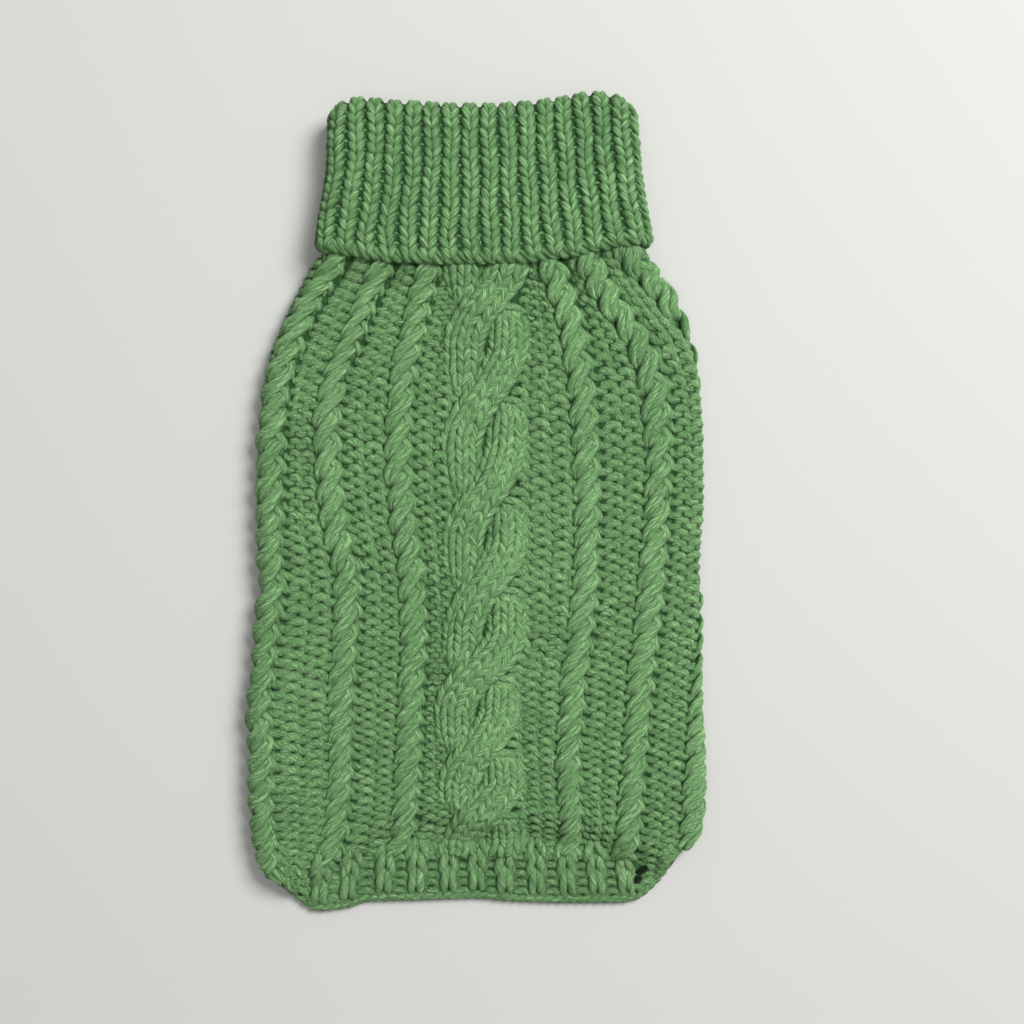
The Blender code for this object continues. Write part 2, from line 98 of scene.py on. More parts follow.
FOLDS = [
    Fold(-66.0, -31.0, -6.0, 30.0, 7.0, -0.8), Fold(-60.0, -20.0, 2.0, 34.0, 12.0, 0.8),
    Fold(-62.0, -44.0, -8.0, 30.0, 12.0, 0.7), Fold(-40.0, 74.0, 66.0, 30.0, 9.0, 1.1),
    Fold(-20.0, 78.0, 80.0, 30.0, 8.0, 1.0), Fold(4.0, 76.0, 88.0, 28.0, 12.0, 1.3),
    Fold(30.0, 78.0, 102.0, 32.0, 9.0, 1.0), Fold(52.0, 72.0, 118.0, 30.0, 9.0, 1.1),
    Fold(0.0, -60.0, 84.0, 80.0, 22.0, 0.6), Fold(62.0, -20.0, 90.0, 90.0, 16.0, 0.5),
    Fold(-8.0, -46.0, 70.0, 34.0, 6.0, -0.6), Fold(56.0, -96.0, 84.0, 40.0, 12.0, 0.5),
]

# ------------------------------------------------------------------ the chart
# Where the courses cross the wales: y of a course on cable 1, cable 2, the wide
# cable (k), cable 4 and cable 5, and x of each cable's middle line there.
Course = namedtuple("Course", "row y1 y2 yk y4 y5 x1 x2 x3 xk x4 x5")
COURSES = [
    Course(-4, 108, 108, 110, 110, 110, -50.0, -31.0, -15.0, 4.6, 23.0, 38.0),
    Course(0, 96.2, 95.8, 96.2, 96.2, 97, -56.8, -37.2, -18.8, 4.4, 28.8, 44),
    Course(4, 82.2, 80.6, 79.4, 79, 81, -65.6, -44.4, -23.2, 4, 35.2, 52.8),
    Course(8, 67, 65, 61.8, 61, 63, -73.2, -50.4, -26.8, 4, 39.4, 65.0),
    Course(12, 47, 48.6, 42.6, 39.8, 41.4, -79.6, -57.6, -30.2, 4, 42.2, 71.2),
    Course(16, 28.6, 28.6, 22.2, 18.6, 20.2, -82, -60.2, -31.6, 3.2, 43.6, 72.6),
    Course(20, 9.4, 7.4, 2.2, -1, 1.4, -82.4, -59.2, -30.8, 4, 44.2, 72.2),
    Course(24, -11, -11, -16.2, -18.6, -17.4, -82.8, -56.4, -28.8, 3.6, 43.8, 70.8),
    Course(28, -28.2, -29.8, -33.8, -35.8, -35.8, -82.4, -52.4, -26, 3.6, 43.2, 69.6),
    Course(32, -48.2, -48.2, -51.8, -53.4, -53.4, -83.6, -52.2, -25.2, 3.6, 41.2, 67.6),
    Course(36, -66.2, -65, -68.2, -69.8, -69.4, -85.6, -53.6, -25.6, 1.6, 38.8, 65.6),
    Course(40, -83.4, -82.2, -84.6, -85.8, -86.2, -87.6, -54.4, -26.8, 0.4, 37.8, 64.2),
    Course(44, -100.6, -96.6, -99.4, -101, -101.4, -86, -54.4, -27.4, 1.2, 36.6, 63.2),
    Course(48, -117.4, -112.2, -113.4, -115, -117.8, -86.4, -54.8, -28.2, 2, 36.8, 61.6),
    Course(52, -133, -127.4, -123.8, -127, -133, -85.2, -56.4, -29, 2.8, 37.8, 60.6),
    Course(56, -146.2, -143.0, -138.2, -139, -146.0, -84, -60.0, -33.6, 3.2, 37.4, 58.8),
    Course(60, -161, -158.5, -153.0, -153, -161, -80, -69.5, -38.0, 3.4, 37.0, 56.0),
    Course(64, -176, -174, -168.0, -168, -176, -76, -79, -40.0, 3.6, 37.0, 54.0),
]
CABLE_WIDE = 17.2           # half width of the wide cable between crossings
CABLE_WAIST = 13.6          # and at a crossing
CROSSING, REPEAT = 4, 8     # first crossing's course, courses between crossings
MINI = 5.3                  # half width of a narrow cable
BEFORE_PURL = 7.4           # from a narrow cable's middle to the first purl stitch
YARN = 1.55                 # yarn radius in the purl ground


# ------------------------------------------------------------------ helpers
def smooth(t):
    t = np.clip(t, 0.0, 1.0)
    return t * t * (3 - 2 * t)


def mix(a, b, t):
    return a + (b - a) * t


class Curve:
    """One named column of a table as a function with no overshoot."""

    def __init__(self, table, key, value):
        rows = sorted(table, key=lambda r: getattr(r, key))
        xs = np.array([getattr(r, key) for r in rows], float)
        ys = np.array([getattr(r, value) for r in rows], float)
        slope = np.diff(ys) / np.diff(xs)
        grade = [slope[0]]
        for a, b in zip(slope, slope[1:]):
            grade.append(0.0 if a * b <= 0 else 2 * a * b / (a + b))
        grade.append(slope[-1])
        grade = np.array(grade)
        x = np.linspace(xs[0], xs[-1], 3000)
        i = np.clip(np.searchsorted(xs, x, side="right") - 1, 0, len(xs) - 2)
        h = xs[i + 1] - xs[i]
        t = (x - xs[i]) / h
        self.x = x
        self.y = ((1 + 2 * t) * (1 - t) ** 2 * ys[i] + t * (1 - t) ** 2 * h * grade[i]
                  + t * t * (3 - 2 * t) * ys[i + 1] + t * t * (t - 1) * h * grade[i + 1])

    def __call__(self, x):
        return np.interp(x, self.x, self.y)


# ------------------------------------------------------------------ the lay of the cloth
body_left, body_right = Curve(BODY, "y", "left"), Curve(BODY, "y", "right")
collar_left, collar_right = Curve(COLLAR, "y", "left"), Curve(COLLAR, "y", "right")
edge_bottom = Curve(COLLAR_EDGE, "across", "bottom")
edge_top = Curve(COLLAR_EDGE, "across", "top")
tail_y = Curve(TAIL, "x", "y")


def collar_bottom(x):
    left, right = collar_left(100.0), collar_right(100.0)
    return edge_bottom((x - left) / (right - left))


def neck_lift(x, y):
    top = collar_bottom(x) - 1.8
    return NECK_LIFT * smooth((y - (top - LIFT_RUN)) / LIFT_RUN)


def arch(x):
    run = np.where(x < 0, 29.0 * np.minimum(1.0, np.abs(x) / 76.0) ** 2.2,
                   17.6 * np.minimum(1.0, np.abs(x) / 76.0) ** 2.2)
    return ARCH_TOP - run


def fold_radius(y):
    return mix(FOLD_BODY, FOLD_FLAT, smooth((y - 78.0) / 14.0))


def crease(x, y):
    total = 0.0
    for f in FOLDS:
        a = math.radians(f.way)
        dx, dy = x - f.x, y - f.y
        along = (dx * math.cos(a) + dy * math.sin(a)) / (f.length / 2)
        across = (-dx * math.sin(a) + dy * math.cos(a)) / (f.width / 2)
        total = total + f.height * np.exp(-(along ** 4) - across ** 2)
    return total


def fold_ends(y):
    """x of the straight top's ends, and the fold radius, at y."""
    r = fold_radius(y)
    left = body_left(np.maximum(y, END_LEFT))
    right = body_right(np.maximum(y, END_RIGHT))
    left = np.where(y > 98.0, np.maximum(left, collar_left(y) + WALL + 1.8 * SEAM), left)
    right = np.where(y > 100.5, np.minimum(right, collar_right(y) - WALL - 1.8 * SEAM), right)
    return left + HALF + r, right - HALF - r, r


def back_top(x, y, left, right):
    r = fold_radius(y)
    lift = neck_lift(x, y)
    edge = np.exp(-((x - left) / 13.0) ** 2) + np.exp(-((right - x) / 13.0) ** 2)
    inside = np.clip((x - left) / 10.0, 0, 1) * np.clip((right - x) / 10.0, 0, 1)
    under_collar = 1.0 - smooth((y - (collar_bottom(x) - 14.0)) / 13.0)
    flat = HALF + 2 * FOLD_FLAT + 2 * (r - FOLD_FLAT) * np.minimum(1.0, edge)
    loft = (SLACK + crease(x, y)) * smooth(inside) * under_collar
    drop = smooth((arch(x) - 0.6 - y) / DROP_RUN)
    return mix(flat + lift + loft, HALF, drop)


def body(q):
    """Middle surface of the back. q holds (X, y): X is x on the straight top and
    goes on round the side folds to the underside as length along the cloth."""
    X, y = q[..., 0], q[..., 1]
    left, right, r = fold_ends(y)
    inside = np.clip(X, left, right)
    over = np.abs(X - inside)
    way = np.where(X < left, -1.0, 1.0)
    z = back_top(inside, y, left, right)
    drop = smooth((arch(inside) - 0.6 - y) / DROP_RUN)
    low = HALF + neck_lift(inside, y)
    rr = np.maximum((z - low) / 2, 0.35)
    turn = np.minimum(over / rr, math.pi)
    past = np.maximum(0.0, over - math.pi * rr)
    x = inside + way * (rr * np.sin(turn) - past)
    z = z - rr * (1 - np.cos(turn))
    return np.stack([x, y, z + 0 * drop], -1)


def normals(surface, q, eps=0.35):
    """Outward normals of a surface that takes (..., 2) to (..., 3)."""
    dx, dy = np.array([eps, 0.0]), np.array([0.0, eps])
    a = surface(q + dx) - surface(q - dx)
    b = surface(q + dy) - surface(q - dy)
    n = np.cross(a, b)
    return n / (np.linalg.norm(n, axis=-1, keepdims=True) + 1e-9)


# ------------------------------------------------------------------ yarn
class Yarns:
    """Many lengths of yarn joined in one mesh, each a closed tapered tube."""

    def __init__(self, sides=8):
        self.sides = sides
        self.points, self.faces, self.fibre, self.shade, self.uv = [], [], [], [], []
        self.count = 0
        self.strips = []          # (length, girth) of every strand, for the unwrapping

    def add(self, P, up, r, twist=0.55, flat=(1.0, 1.0), floor=None, z=0.8):
        """P (m, n, 3) middle lines, up (m, n, 3), r (m, n): m strands of n rings."""
        P, up = np.asarray(P, float), np.asarray(up, float)
        if P.ndim == 2:
            P, up = P[None], up[None]
        m, n, _ = P.shape
        r = np.broadcast_to(np.asarray(r, float), (m, n))
        T = np.gradient(P, axis=1)
        T /= np.linalg.norm(T, axis=2, keepdims=True) + 1e-9
        S = np.cross(T, up)
        size = np.linalg.norm(S, axis=2)
        for i in range(n):
            if i:
                weak = size[:, i] < 0.3
                held = S[:, i - 1] - T[:, i] * np.sum(S[:, i - 1] * T[:, i], 1, keepdims=True)
                S[weak, i] = held[weak]
            S[:, i] /= np.linalg.norm(S[:, i], axis=1, keepdims=True) + 1e-9
        N = np.cross(S, T)
        k = self.sides
        a = np.arange(k) * 2 * math.pi / k
        ring = (flat[0] * np.cos(a)[None, None, :, None] * S[:, :, None, :]
                + flat[1] * np.sin(a)[None, None, :, None] * N[:, :, None, :])
        V = P[:, :, None, :] + r[:, :, None, None] * ring
        # painted shade and light: how far round its own strand, and how high on the cloth, each point sits, which the
        # material turns into darker sides, undersides and low points and lighter tops
        turned = np.sum(ring * up[:, :, None, :], -1)
        level = z + 0 * r
        shade = np.stack([turned, level[:, :, None] + r[:, :, None] * turned, 0 * turned], -1)
        step = np.linalg.norm(np.diff(P, axis=1), axis=2)
        s = np.concatenate([np.zeros((m, 1)), np.cumsum(step, 1)], 1)
        seed = RNG.uniform(0, 900, (m, 1, 1))
        theta = a[None, None, :] + twist * s[:, :, None]
        rr = r[:, :, None] * np.ones_like(theta)
        A = np.stack([rr * np.cos(theta), rr * np.sin(theta), s[:, :, None] + seed + 0 * theta], -1)
        tips = P[:, [0, -1]] + (np.stack([-T[:, 0], T[:, -1]], 1)) * (r[:, [0, -1]] * 0.45)[:, :, None]
        tipA = np.stack([A[:, 0].mean(1), A[:, -1].mean(1)], 1)
        tipS = np.stack([shade[:, 0].min(1), shade[:, -1].min(1)], 1)
        self.shade.append(np.concatenate([shade.reshape(m, n * k, 3), tipS], 1).reshape(-1, 3))
        per = n * k + 2
        V = np.concatenate([V.reshape(m, n * k, 3), tips], 1)
        A = np.concatenate([A.reshape(m, n * k, 3), tipA], 1)
        if floor is not None:
            # pressed flat where it rests, with each face still over the next
            low = V[..., 2] - floor
            V[..., 2] = floor + np.where(low < 1.0, 1.0 / (2.0 - np.minimum(low, 1.0)), low)
        base = self.count + np.arange(m)[:, None, None] * per
        i, j = np.meshgrid(np.arange(n - 1), np.arange(k), indexing="ij")
        j2 = (j + 1) % k
        quads = np.stack([i * k + j, (i + 1) * k + j, (i + 1) * k + j2, i * k + j2], -1).reshape(-1, 4)
        self.faces.append((base + quads[None]).reshape(-1, 4))
        jj = np.arange(k)
        first = np.stack([jj, (jj + 1) % k, 0 * jj + n * k, 0 * jj - 10 ** 9], -1)
        last = np.stack([(n - 1) * k + (jj + 1) % k, (n - 1) * k + jj, 0 * jj + n * k + 1, 0 * jj - 10 ** 9], -1)
        self.faces.append((base + np.concatenate([first, last])[None]).reshape(-1, 4))
        # unwrapping, in mm: u along the strand, v round it
        girth = 2 * math.pi * r.mean(1)
        cap = 1.0
        u = np.concatenate([s + cap], 1)
        vv = (np.arange(k + 1) / k)[None, :] * girth[:, None]
        uq = np.stack([u[:, i], u[:, i + 1], u[:, i + 1], u[:, i]], -1)
        vq = np.stack([vv[:, j], vv[:, j], vv[:, j + 1], vv[:, j + 1]], -1)
        self.uv.append(("q", np.stack([uq, vq], -1).reshape(m, -1, 4, 2)))
        u0, u1 = u[:, :1] + 0 * vv[:, :k], u[:, -1:] + 0 * vv[:, :k]
        mid = (vv[:, :k] + vv[:, 1:]) / 2
        f = np.stack([np.stack([u0, vv[:, :k]], -1), np.stack([u0, vv[:, 1:]], -1),
                      np.stack([u0 - cap * 0.9, mid], -1)], 2)
        g = np.stack([np.stack([u1, vv[:, 1:]], -1), np.stack([u1, vv[:, :k]], -1),
                      np.stack([u1 + cap * 0.9, mid], -1)], 2)
        self.uv.append(("t", np.concatenate([f, g], 1)))
        self.strips.append(np.stack([u[:, -1] + cap, girth], 1))
        self.points.append(V.reshape(-1, 3))
        self.fibre.append(A.reshape(-1, 3))
        self.count += m * per

    def pack(self):
        """Shelves of strips in the unit square; returns (scale, x, y) of each strip."""
        strips = np.concatenate(self.strips)
        order = np.argsort(-strips[:, 1], kind="stable")
        gap = 0.5
        low, high = 1e-5, 1.0
        best = None
        for _ in range(26):
            scale = math.sqrt(low * high)
            x = y = 0.0
            shelf = 0.0
            place = np.zeros((len(strips), 2))
            ok = True
            for i in order:
                w, h = (strips[i] + gap) * scale
                if w > 1:
                    ok = False
                    break
                if x + w > 1:
                    x, y, shelf = 0.0, y + shelf, 0.0
                shelf = max(shelf, h)
                if y + shelf > 1:
                    ok = False
                    break
                place[i] = (x + gap * scale / 2, y + gap * scale / 2)
                x += w
            if ok:
                best, low = (scale, place), scale
            else:
                high = scale
        return best

    def make(self, name, material):
        V = (np.concatenate(self.points) + (0.0, CENTRE_Y, 0.0)) * MM
        A = np.concatenate(self.fibre)
        quads = np.concatenate([f for f in self.faces[0::2]])
        tris = np.concatenate([f for f in self.faces[1::2]])[:, :3]
        data = bpy.data.meshes.new(name)
        data.vertices.add(len(V))
        data.vertices.foreach_set("co", V.astype(np.float32).ravel())
        loops = np.concatenate([quads.ravel(), tris.ravel()]).astype(np.int32)
        data.loops.add(len(loops))
        data.loops.foreach_set("vertex_index", loops)
        starts = np.concatenate([np.arange(len(quads)) * 4,
                                 len(quads) * 4 + np.arange(len(tris)) * 3]).astype(np.int32)
        data.polygons.add(len(starts))
        data.polygons.foreach_set("loop_start", starts)
        data.update(calc_edges=True)
        scale, place = self.pack()
        at, uq, ut = 0, [], []
        for kind, uv in self.uv:
            m = uv.shape[0]
            moved = (uv * scale + place[at:at + m].reshape((m,) + (1,) * (uv.ndim - 2) + (2,)))
            if kind == "q":
                uq.append(moved.reshape(-1, 2))
            else:
                ut.append(moved.reshape(-1, 2))
                at += m
        layer = data.uv_layers.new(name="OFBake")
        layer.data.foreach_set("uv", np.concatenate(uq + ut).astype(np.float32).ravel())
        fibre = data.attributes.new("yarn", "FLOAT_VECTOR", "POINT")
        fibre.data.foreach_set("vector", A.astype(np.float32).ravel())
        shade = data.attributes.new("shade", "FLOAT_VECTOR", "POINT")
        shade.data.foreach_set("vector", np.concatenate(self.shade).astype(np.float32).ravel())
        data.materials.append(material)
        data.shade_smooth()
        thing = bpy.data.objects.new(name, data)
        bpy.context.scene.collection.objects.link(thing)
        print(name, "triangles", 2 * len(quads) + len(tris), "strands", len(place))
        return thing


def wobble(a, b, size, seed):
    """Slow unevenness, as hand tension gives."""
    s = seed * 1.7
    return size * (np.sin(1.3 * a + 0.7 * b + s) * np.sin(0.61 * b - 0.4 * a + 2 * s)
                   + 0.6 * np.sin(2.9 * a - 1.7 * b + 3 * s))


# ------------------------------------------------------------------ wales on the back
CAMERA_HIGH, CAMERA_X, CAMERA_Y, TRUE_AT = 572.9, 14.4, -3.8, 4.0   # as charted


def seen(x, y, z=9.0):
    """A place read from straight above at the height TRUE_AT, brought to height z."""
    f = (CAMERA_HIGH - z) / (CAMERA_HIGH - TRUE_AT)
    return CAMERA_X + (x - CAMERA_X) * f, CAMERA_Y + (y - CAMERA_Y) * f


chart = {name: Curve(COURSES, "row", name) for name in Course._fields[1:]}
chart["y3"] = lambda v: mix(chart["y2"](v), chart["yk"](v), 0.35)


def unroll(x, y):
    """X along the cloth of a place seen from above at x, y."""
    left, right, r = fold_ends(y)
    X = np.where(x < left, left - r * np.arcsin(np.clip((left - x) / (r + 1.2), 0, 1)), x)
    return np.where(x > right, right + r * np.arcsin(np.clip((x - right) / (r + 1.2), 0, 1)), X)


def cable(name, v):
    """(X, y) of a cable's middle line at course v."""
    v = np.asarray(v, float)
    if name == "6":
        base = cable("5", v)
        away = np.interp(v, [-4, 0, 4, 8, 60], [15.0, 17.6, 23.5, 25.0, 25.0])
        left, right, r = fold_ends(base[..., 1])
        most = right + math.pi * r + 2.2
        return np.stack([np.minimum(base[..., 0] + away, most), base[..., 1]], -1)
    x, y = seen(chart["x" + name](v), chart["y" + name](v))
    return np.stack([unroll(x, y), y], -1)


def across(name, v):
    """Unit vector across a cable, towards +X."""
    d = cable(name, v + 0.6) - cable(name, v - 0.6)
    t = d / (np.linalg.norm(d, axis=-1, keepdims=True) + 1e-9)
    return np.stack([-t[..., 1], t[..., 0]], -1)


def beside(name, v, away):
    return cable(name, v) + across(name, v) * np.asarray(away)[..., None]


def waist(v):
    """Half width of the wide cable at course v."""
    return mix(CABLE_WIDE, CABLE_WAIST, 0.5 + 0.5 * np.cos(2 * math.pi * (v - CROSSING) / REPEAT))


def seam_line(side, v):
    name = "1" if side < 0 else "6"
    y = cable(name, v)[..., 1]
    left, right, r = fold_ends(y)
    reach = math.pi * r + (WRAP - HALF - r) - 1.6
    return np.stack([left - reach if side < 0 else right + reach, y], -1)


Ground = namedtuple("Ground", "name left right stitches")
GROUNDS = [
    Ground("under_left", lambda v: seam_line(-1, v), lambda v: beside("1", v, -MINI), 2),
    Ground("a", lambda v: beside("1", v, BEFORE_PURL), lambda v: beside("2", v, -MINI), 2),
    Ground("b", lambda v: beside("2", v, BEFORE_PURL), lambda v: beside("3", v, -MINI), 2),
    Ground("c", lambda v: beside("3", v, BEFORE_PURL - 0.6), lambda v: beside("k", v, -13.2 + 0 * v), 2),
    Ground("d", lambda v: beside("k", v, 0.35 * waist(v) + 12.4), lambda v: beside("4", v, -MINI), 2),
    Ground("e", lambda v: beside("4", v, BEFORE_PURL), lambda v: beside("5", v, -MINI), 2),
    Ground("f", lambda v: beside("5", v, BEFORE_PURL), lambda v: beside("6", v, -MINI), 2),
]


def runs(mask, least=5):
    """(start, stop) of every unbroken stretch of a mask."""
    found, start = [], None
    for i, ok in enumerate(list(mask) + [False]):
        if ok and start is None:
            start = i
        elif not ok and start is not None:
            if i - start >= least:
                found.append((start, i))
            start = None
    return found


def lay(yarns, q, z, r, surface=body, twist=0.55, flat=(1.0, 1.0), keep=None, floor=FLOOR):
    """Carries strands from the chart (m, n, 2) and heights (m, n) to the surface."""
    P = surface(q)
    N = normals(surface, q)
    if surface is body:
        # the tail's end is one layer on the floor, so its strands all lie on top
        end = (q[..., 1] < tail_y(P[..., 0]) + 7.0) & (N[..., 2] < 0.5)
        N = np.where(end[..., None], np.array([0.0, 0.0, 1.0]), N)
    P = P + N * z[..., None]
    r = np.broadcast_to(np.asarray(r, float), z.shape)
    if keep is None:
        yarns.add(P, N, r, twist, flat, floor, z)
        return
    whole = keep.all(1)
    if whole.any():
        yarns.add(P[whole], N[whole], r[whole], twist, flat, floor, z[whole])
    for i in np.nonzero(~whole)[0]:
        for a, b in runs(keep[i]):
            yarns.add(P[i, a:b], N[i, a:b], r[i, a:b], twist, flat, floor, z[i, a:b])


def above_tail(q, margin=1.4):
    x = body(q)[..., 0]
    return q[..., 1] > tail_y(x) + margin


def above_hem(q):
    """Clear of the ribbed hem, which is a piece of its own."""
    x = body(q)[..., 0]
    top = mix(HEM_TOP, -131.0, smooth((x - HEM_RIGHT) / 16.0))
    inside = (x > HEM_LEFT + 0.8) & (x < HEM_RIGHT - 0.8)
    return np.where(inside, q[..., 1] > top - 0.5, True) & above_tail(q)


# Reverse stocking stitch: heads and sinkers of the loops in front.
def pitch_of(place, T, v):
    """Local distance between courses, mm."""
    return np.linalg.norm(place(T, v + 0.5) - place(T, v - 0.5), axis=-1)


def loops(yarns, place, stitches, rows, name, surface=body, keep=None, seg=14, r=1.84,
          high=0.80, ahead=0.42, after=0.34, wide=0.205, reach=0.80, sink=(1.9, 2.0), drop=0.2, full=7.4,
          begin=-0.12, end=0.02):
    """Courses of loops seen from the purl side. place(T, v) is the chart's point at
    wale T and course v; ahead and after say how far a course runs under its
    neighbours at either end."""
    t = np.arange(-ahead, stitches + after, 1.0 / seg)
    rows = np.asarray(rows, float) + 0.5
    T = t[None] + 0 * rows[:, None]
    v0 = rows[:, None] + 0 * T
    seed = sum(map(ord, name))
    tall = reach * (1 + RNG.normal(0, 0.03, (len(rows), 1)))
    v = v0 + tall * np.cos(2 * math.pi * T) + wobble(T, v0, 0.05, seed)
    x = T + wide * np.sin(4 * math.pi * T) + wobble(v0, T, 0.025, seed + 2)
    q = place(x, v)
    c = np.cos(4 * math.pi * T)
    z = high * np.tanh(1.7 * (c + 0.28)) / 0.9 - 0.26 * np.cos(2 * math.pi * T)
    z = z + wobble(T * 2, v0, 0.12, seed + 5)
    z = z - sink[0] * smooth((begin - T) / 0.3) - sink[1] * smooth((T - stitches - end) / 0.3)
    h = pitch_of(place, T, v0)
    w = np.linalg.norm(place(T + 0.5, v0) - place(T - 0.5, v0), axis=-1)
    size = r * np.clip(np.sqrt(h * w / 4.8 / full), 0.6, 1.12) ** 0.8 * (1 + wobble(T * 1.5, v0 * 1.3, 0.04, seed + 9))
    ok = None if keep is None else keep(q)
    lay(yarns, q, z - drop, size, surface=surface, keep=ok, flat=(1.06, 0.95))


def purl_ground(yarns, ground):
    n = ground.stitches

    def place(T, v):
        f = (T / n)[..., None]
        return ground.left(v) * (1 - f) + ground.right(v) * f

    # beside the wide cable the courses run on under it
    loops(yarns, place, n, np.arange(-1, 62), ground.name, keep=above_hem,
          ahead=1.1 if ground.name == "d" else 0.42, after=0.75 if ground.name == "c" else 0.34,
          begin=-0.75 if ground.name == "d" else -0.12, end=0.42 if ground.name == "c" else 0.02)


# A narrow cable: two courses a petal, the front stitch lying up to the right, and
# the fan of the back stitch showing at its right.
Way = namedtuple("Way", "across course high")
FAN = [
    Way(0.8, -0.02, -0.4), Way(2.9, 0.36, 0.7), Way(4.6, 0.80, 0.95), Way(5.3, 1.20, 0.3),
    Way(4.7, 1.60, -1.0),
]


def spread(points, n):
    """n places evenly along a short given way."""
    p = np.array(points, float)
    size = p.copy()
    size[:, 1] *= 4.8
    s = np.concatenate([[0], np.cumsum(np.linalg.norm(np.diff(size, axis=0), axis=1))])
    t = np.linspace(0, s[-1], n)
    return np.stack([np.interp(t, s, p[:, i]) for i in range(3)], -1)


def narrow_cable(yarns, name, first=-2, last=58, lift=0.45):
    """Petals lie level across the cloth even where the cable itself leans."""
    seed = ord(name)
    rows = np.arange(first, last, 2.0)
    jig = RNG.normal(0, 1, (len(rows), 4))
    run = cable(name, rows + 1) - cable(name, rows - 1)
    pitch = np.linalg.norm(run, axis=-1)[:, None]
    tall = 19.0 * (pitch / 9.8) ** 0.45                # a petal's length, mm along the cable
    drift = wobble(rows, rows, 0.22, seed)[:, None]
    flatways = np.array([1.0, 0.0])

    # the petal: a stitch passing from the right edge over to the left one
    n = 11
    s = np.linspace(0, 1, n)[None]
    v = rows[:, None] + (tall / pitch * 2) * (s - 0.5) + 0.05 * jig[:, 1:2]
    a = mix(3.5, -3.3, smooth((s - 0.14) / 0.72)) * (1 + 0.05 * jig[:, :1]) + drift
    q = cable(name, v) + flatways * a[..., None]
    T = np.gradient(q, axis=1)
    T /= np.linalg.norm(T, axis=2, keepdims=True) + 1e-9
    side = np.stack([-T[..., 1], T[..., 0]], -1)
    apart = np.abs(T[:, n // 2, 0] * run[:, 1] - T[:, n // 2, 1] * run[:, 0])[:, None]
    thick = np.clip(apart / 6.1, 0.66, 1.16)
    body_of = np.sin(math.pi * s)
    part = 1.16 * thick * (0.40 + 0.60 * body_of ** 0.8)
    z = lift - 0.75 + 2.7 * body_of ** 0.8 + 0.1 * jig[:, 2:3]
    r = 1.90 * thick * np.interp(s[0], [0, 0.12, 0.3, 0.7, 0.88, 1], [0.6, 0.82, 1, 1, 0.82, 0.6])[None]
    for way, low in ((1, 0.0), (-1, 0.15)):
        qq = q + way * side * part[..., None]
        lay(yarns, qq, z - low, r * (1 + 0.03 * jig[:, 3:4]), keep=above_hem(qq), flat=(1.04, 0.98), twist=0.25)

    # what shows between the petals: the strands that lie under them
    v = np.arange(first - 0.5, last + 0.5, 0.5)[None]
    q = cable(name, v) + flatways * (0.6 * np.sin(math.pi * v))[..., None]
    lay(yarns, q, 0.25 + 0 * v, 2.5 + 0 * v, keep=above_hem(q), twist=0.25)

    # the fan of the stitch behind, at the right
    for across_by, later, high, size in ((0.0, 0.0, 1.0, 2.0), (-1.5, 0.42, 0.8, 1.7)):
        w = spread(FAN, 7)
        v = rows[:, None] + w[None, :, 1] + later
        a = (w[None, :, 0] + across_by) * (1 + 0.05 * jig[:, 3:4]) + drift
        q = cable(name, v) + flatways * a[..., None]
        z = w[None, :, 2] * high + lift + 0 * a
        r = size * thick ** 0.7 * np.interp(np.linspace(0, 1, 7), [0, 0.2, 0.8, 1], [0.65, 1, 1, 0.65])[None]
        lay(yarns, q, z, r, keep=above_hem(q), twist=0.25)


# One leg of a knit stitch, from its base between the legs below to its shoulder.
Leg = namedtuple("Leg", "out course high thick")
LEG = [
    Leg(0.08, 0.98, -1.35, 0.80), Leg(0.105, 0.74, -0.30, 0.98), Leg(0.16, 0.38, 0.50, 1.10),
    Leg(0.235, 0.0, 0.72, 1.14), Leg(0.315, -0.38, 0.42, 1.10), Leg(0.37, -0.72, -0.35, 1.0),
    Leg(0.36, -1.0, -1.5, 0.82),
]


def legs(n=8):
    p = np.array(LEG, float)
    t = np.linspace(0, len(p) - 1, n)
    return np.stack([np.interp(t, np.arange(len(p)), p[:, i]) for i in range(4)], -1)


# The wide cable: a two-strand rope, three wales a strand. Each strand comes out at
# the right under a crossing, runs down, passes over to the left at the next one,
# and is covered again at the crossing after that.
STRAND = 2 * REPEAT


def strand_line(start, v):
    """(X, y) of a strand's middle line, its own across vector, and wale width."""
    p = v - start
    side = 8.9 * (1 - 2 * smooth((p - 3.5) / 8.4))
    side = side - 0.9 * (1 - smooth((STRAND - p) / 2.2)) - 1.6 * (1 - smooth(p / 2.0))
    return cable("k", v) + across("k", v) * side[..., None]


def knit_column(yarns, place, rows, width, r=1.5, surface=body, keep=None, n=8, lift=0.0,
                high=1.0, way=1.0, spread_to=1.0, hollow=0.0, seed=0, slope=1.0):
    """A wale of knit stitches: two legs each. place(a, v): a is mm across the wale.
    way is 1 where the Vs open towards the neck, -1 the other way up."""
    leg = legs(n)
    rows = np.asarray(rows, float)
    for side in (-1, 1):
        jig = RNG.normal(0, 1, (len(rows), 4))
        v = rows[:, None] + way * slope * leg[None, :, 1] + 0.05 * jig[:, :1]
        a = side * leg[None, :, 0] * spread_to * width * (1 + 0.05 * jig[:, 1:2])
        a = a + side * hollow
        q = place(a, v)
        z = leg[None, :, 2] * high + lift + 0.07 * jig[:, 2:3]
        size = r * leg[None, :, 3] * (1 + 0.04 * jig[:, 3:4])
        ok = None if keep is None else keep(q)
        lay(yarns, q, z, size, surface=surface, keep=ok, twist=0.4 * side)


